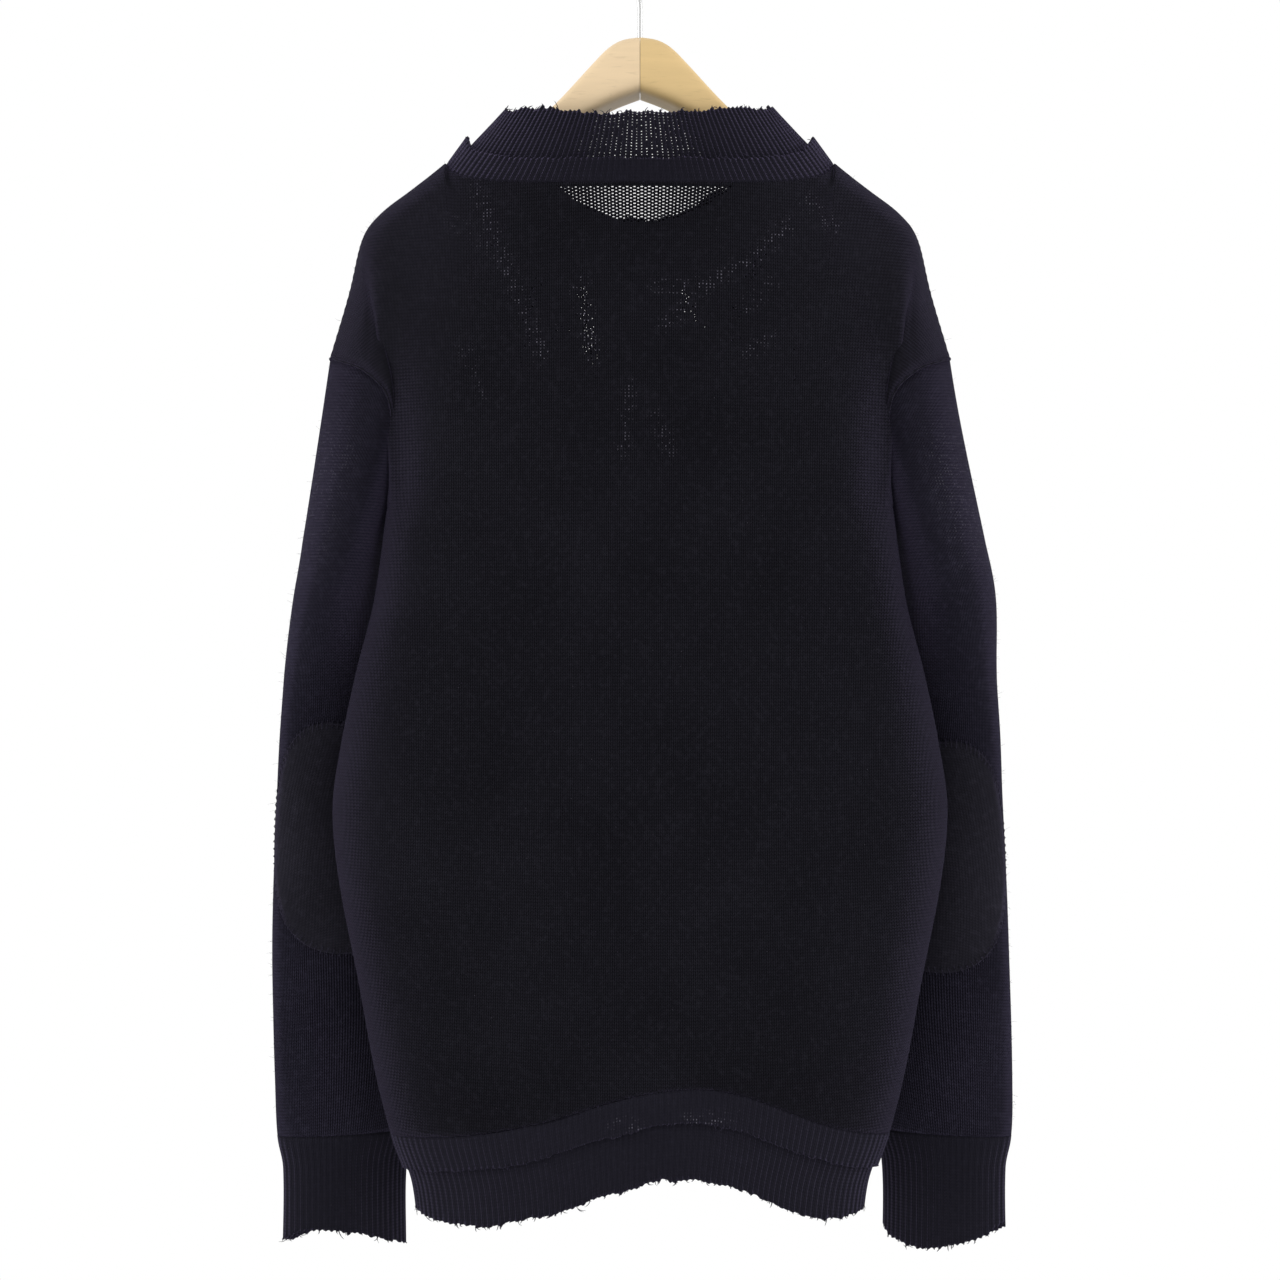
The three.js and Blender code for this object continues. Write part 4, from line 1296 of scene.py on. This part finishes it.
# %% Arms
ARM_SIDES = 48
ARM_BEND = 0.0004
BOARD_ROUND = 0.42


def station(x):
    top, bottom, deep = arm_outline(float(x))
    return np.array([x, -ARM_BEND * max(x - 90, 0) ** 2, (top + bottom) / 2]), deep, (top - bottom) / 2


def build_arm(name, side, tone):
    stations = np.concatenate([[SEAM / 2], np.linspace(3, 180, 60), [182, 183.2, 184]])
    middle, deep, tall = station(stations[0])
    bpy.ops.object.select_all(action="DESELECT")
    bpy.ops.mesh.primitive_circle_add(vertices=ARM_SIDES, radius=1, fill_type="NGON", location=(0, 0, 0))
    arm = bpy.context.object
    arm.name = name
    for v in arm.data.vertices:
        y, z = (math.copysign(abs(k) ** BOARD_ROUND, k) for k in v.co[:2])
        v.co = (middle[0] * MM, y * deep * MM, (middle[2] + z * tall + ARCH_TOP) * MM)
    bpy.ops.object.mode_set(mode="EDIT")
    bpy.ops.mesh.select_all(action="SELECT")
    for x in stations[1:]:
        ahead, new_deep, new_tall = station(x)
        step = (ahead - middle) * MM
        bpy.ops.mesh.extrude_region_move(TRANSFORM_OT_translate={"value": tuple(step)})
        at = to_frame(ahead)
        size = (1, new_deep / deep, new_tall / tall)
        bpy.ops.transform.resize(value=size, center_override=tuple(at))
        middle, deep, tall = ahead, new_deep, new_tall
    bpy.ops.mesh.select_all(action="SELECT")
    if side < 0:
        bpy.ops.transform.resize(value=(-1, 1, 1), center_override=(0, 0, 0))
    bpy.ops.mesh.normals_make_consistent(inside=False)
    bpy.ops.object.mode_set(mode="OBJECT")
    bpy.ops.object.shade_smooth_by_angle(angle=math.radians(40))
    arm.data.materials.append(beech(f"{name} wood", tone, side))
    return arm


for wearer in (LEFT, RIGHT):
    node = f"hanger_arm_{wearer['name']}"
    arm = build_arm(f"arm_{wearer['name']}", wearer["side"], WOOD_TONES_WITH_PAINTED_SHADE[wearer["name"]])
    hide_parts(node)
    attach(arm, "root")
    print(arm.name, "faces", len(arm.data.polygons))

# %% [markdown]
# ## The hook
# The hook is one bent steel wire: a straight stem out of the joint, an S, and the open crook that hangs
# on a rail. A wire is best drawn as a curve along its middle with a round bevel, and turned into a mesh
# at the end.

# %% Steel
steel = Finish("brushed steel")
brushed_place = steel.nodes.new("ShaderNodeTexCoord").outputs["Object"]
brushed = steel.add("TexNoise", Vector=brushed_place, Scale=900, Detail=3)
grey = steel.blend(brushed.outputs[0], (0.5, 0.5, 0.5, 1), (0.66, 0.66, 0.65, 1))
steel.link(grey, steel.shader.inputs["Base Color"])
steel.shader.inputs["Metallic"].default_value = 1
rough = steel.add("MapRange", Value=brushed.outputs[0], To_Min=0.22, To_Max=0.38)
steel.link(rough.outputs[0], steel.shader.inputs["Roughness"])

# %% Bent wire
CROOK_RADIUS = 20.75
CROOK_HEIGHT = 59.0
HOOK_WIRE = 1.75

crook = [math.radians(degrees) for degrees in (-160, -175, *range(170, 9, -20), -10, -28)]
route = [(CROOK_RADIUS * math.cos(angle), CROOK_RADIUS * math.sin(angle)) for angle in crook]
route += [(13, -18), (6, -24.5), (1.4, -32), (0, -40), (0, -48), (0, -59), (0, -97.5)]
bpy.ops.object.select_all(action="DESELECT")
bpy.ops.curve.primitive_bezier_curve_add(location=(0, 0, 0))
wire = bpy.context.object
wire.name = "hook_wire"
spline = wire.data.splines[0]
spline.bezier_points.add(len(route) - 2)
for point, (x, z) in zip(spline.bezier_points, route):
    point.co = (x * MM, 0, (z + CROOK_HEIGHT + ARCH_TOP) * MM)
    point.handle_left_type = "AUTO"
    point.handle_right_type = "AUTO"
spline.resolution_u = 8
wire.data.bevel_depth = HOOK_WIRE * MM
wire.data.bevel_resolution = 6
wire.data.use_fill_caps = True
bpy.ops.object.convert(target="MESH")
wire = bpy.context.object
wire.data.materials.clear()
wire.data.materials.append(steel.material)
bpy.ops.object.shade_smooth_by_angle(angle=math.radians(40))
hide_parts("hook")
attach(wire, "root")
print("hook faces", len(wire.data.polygons))
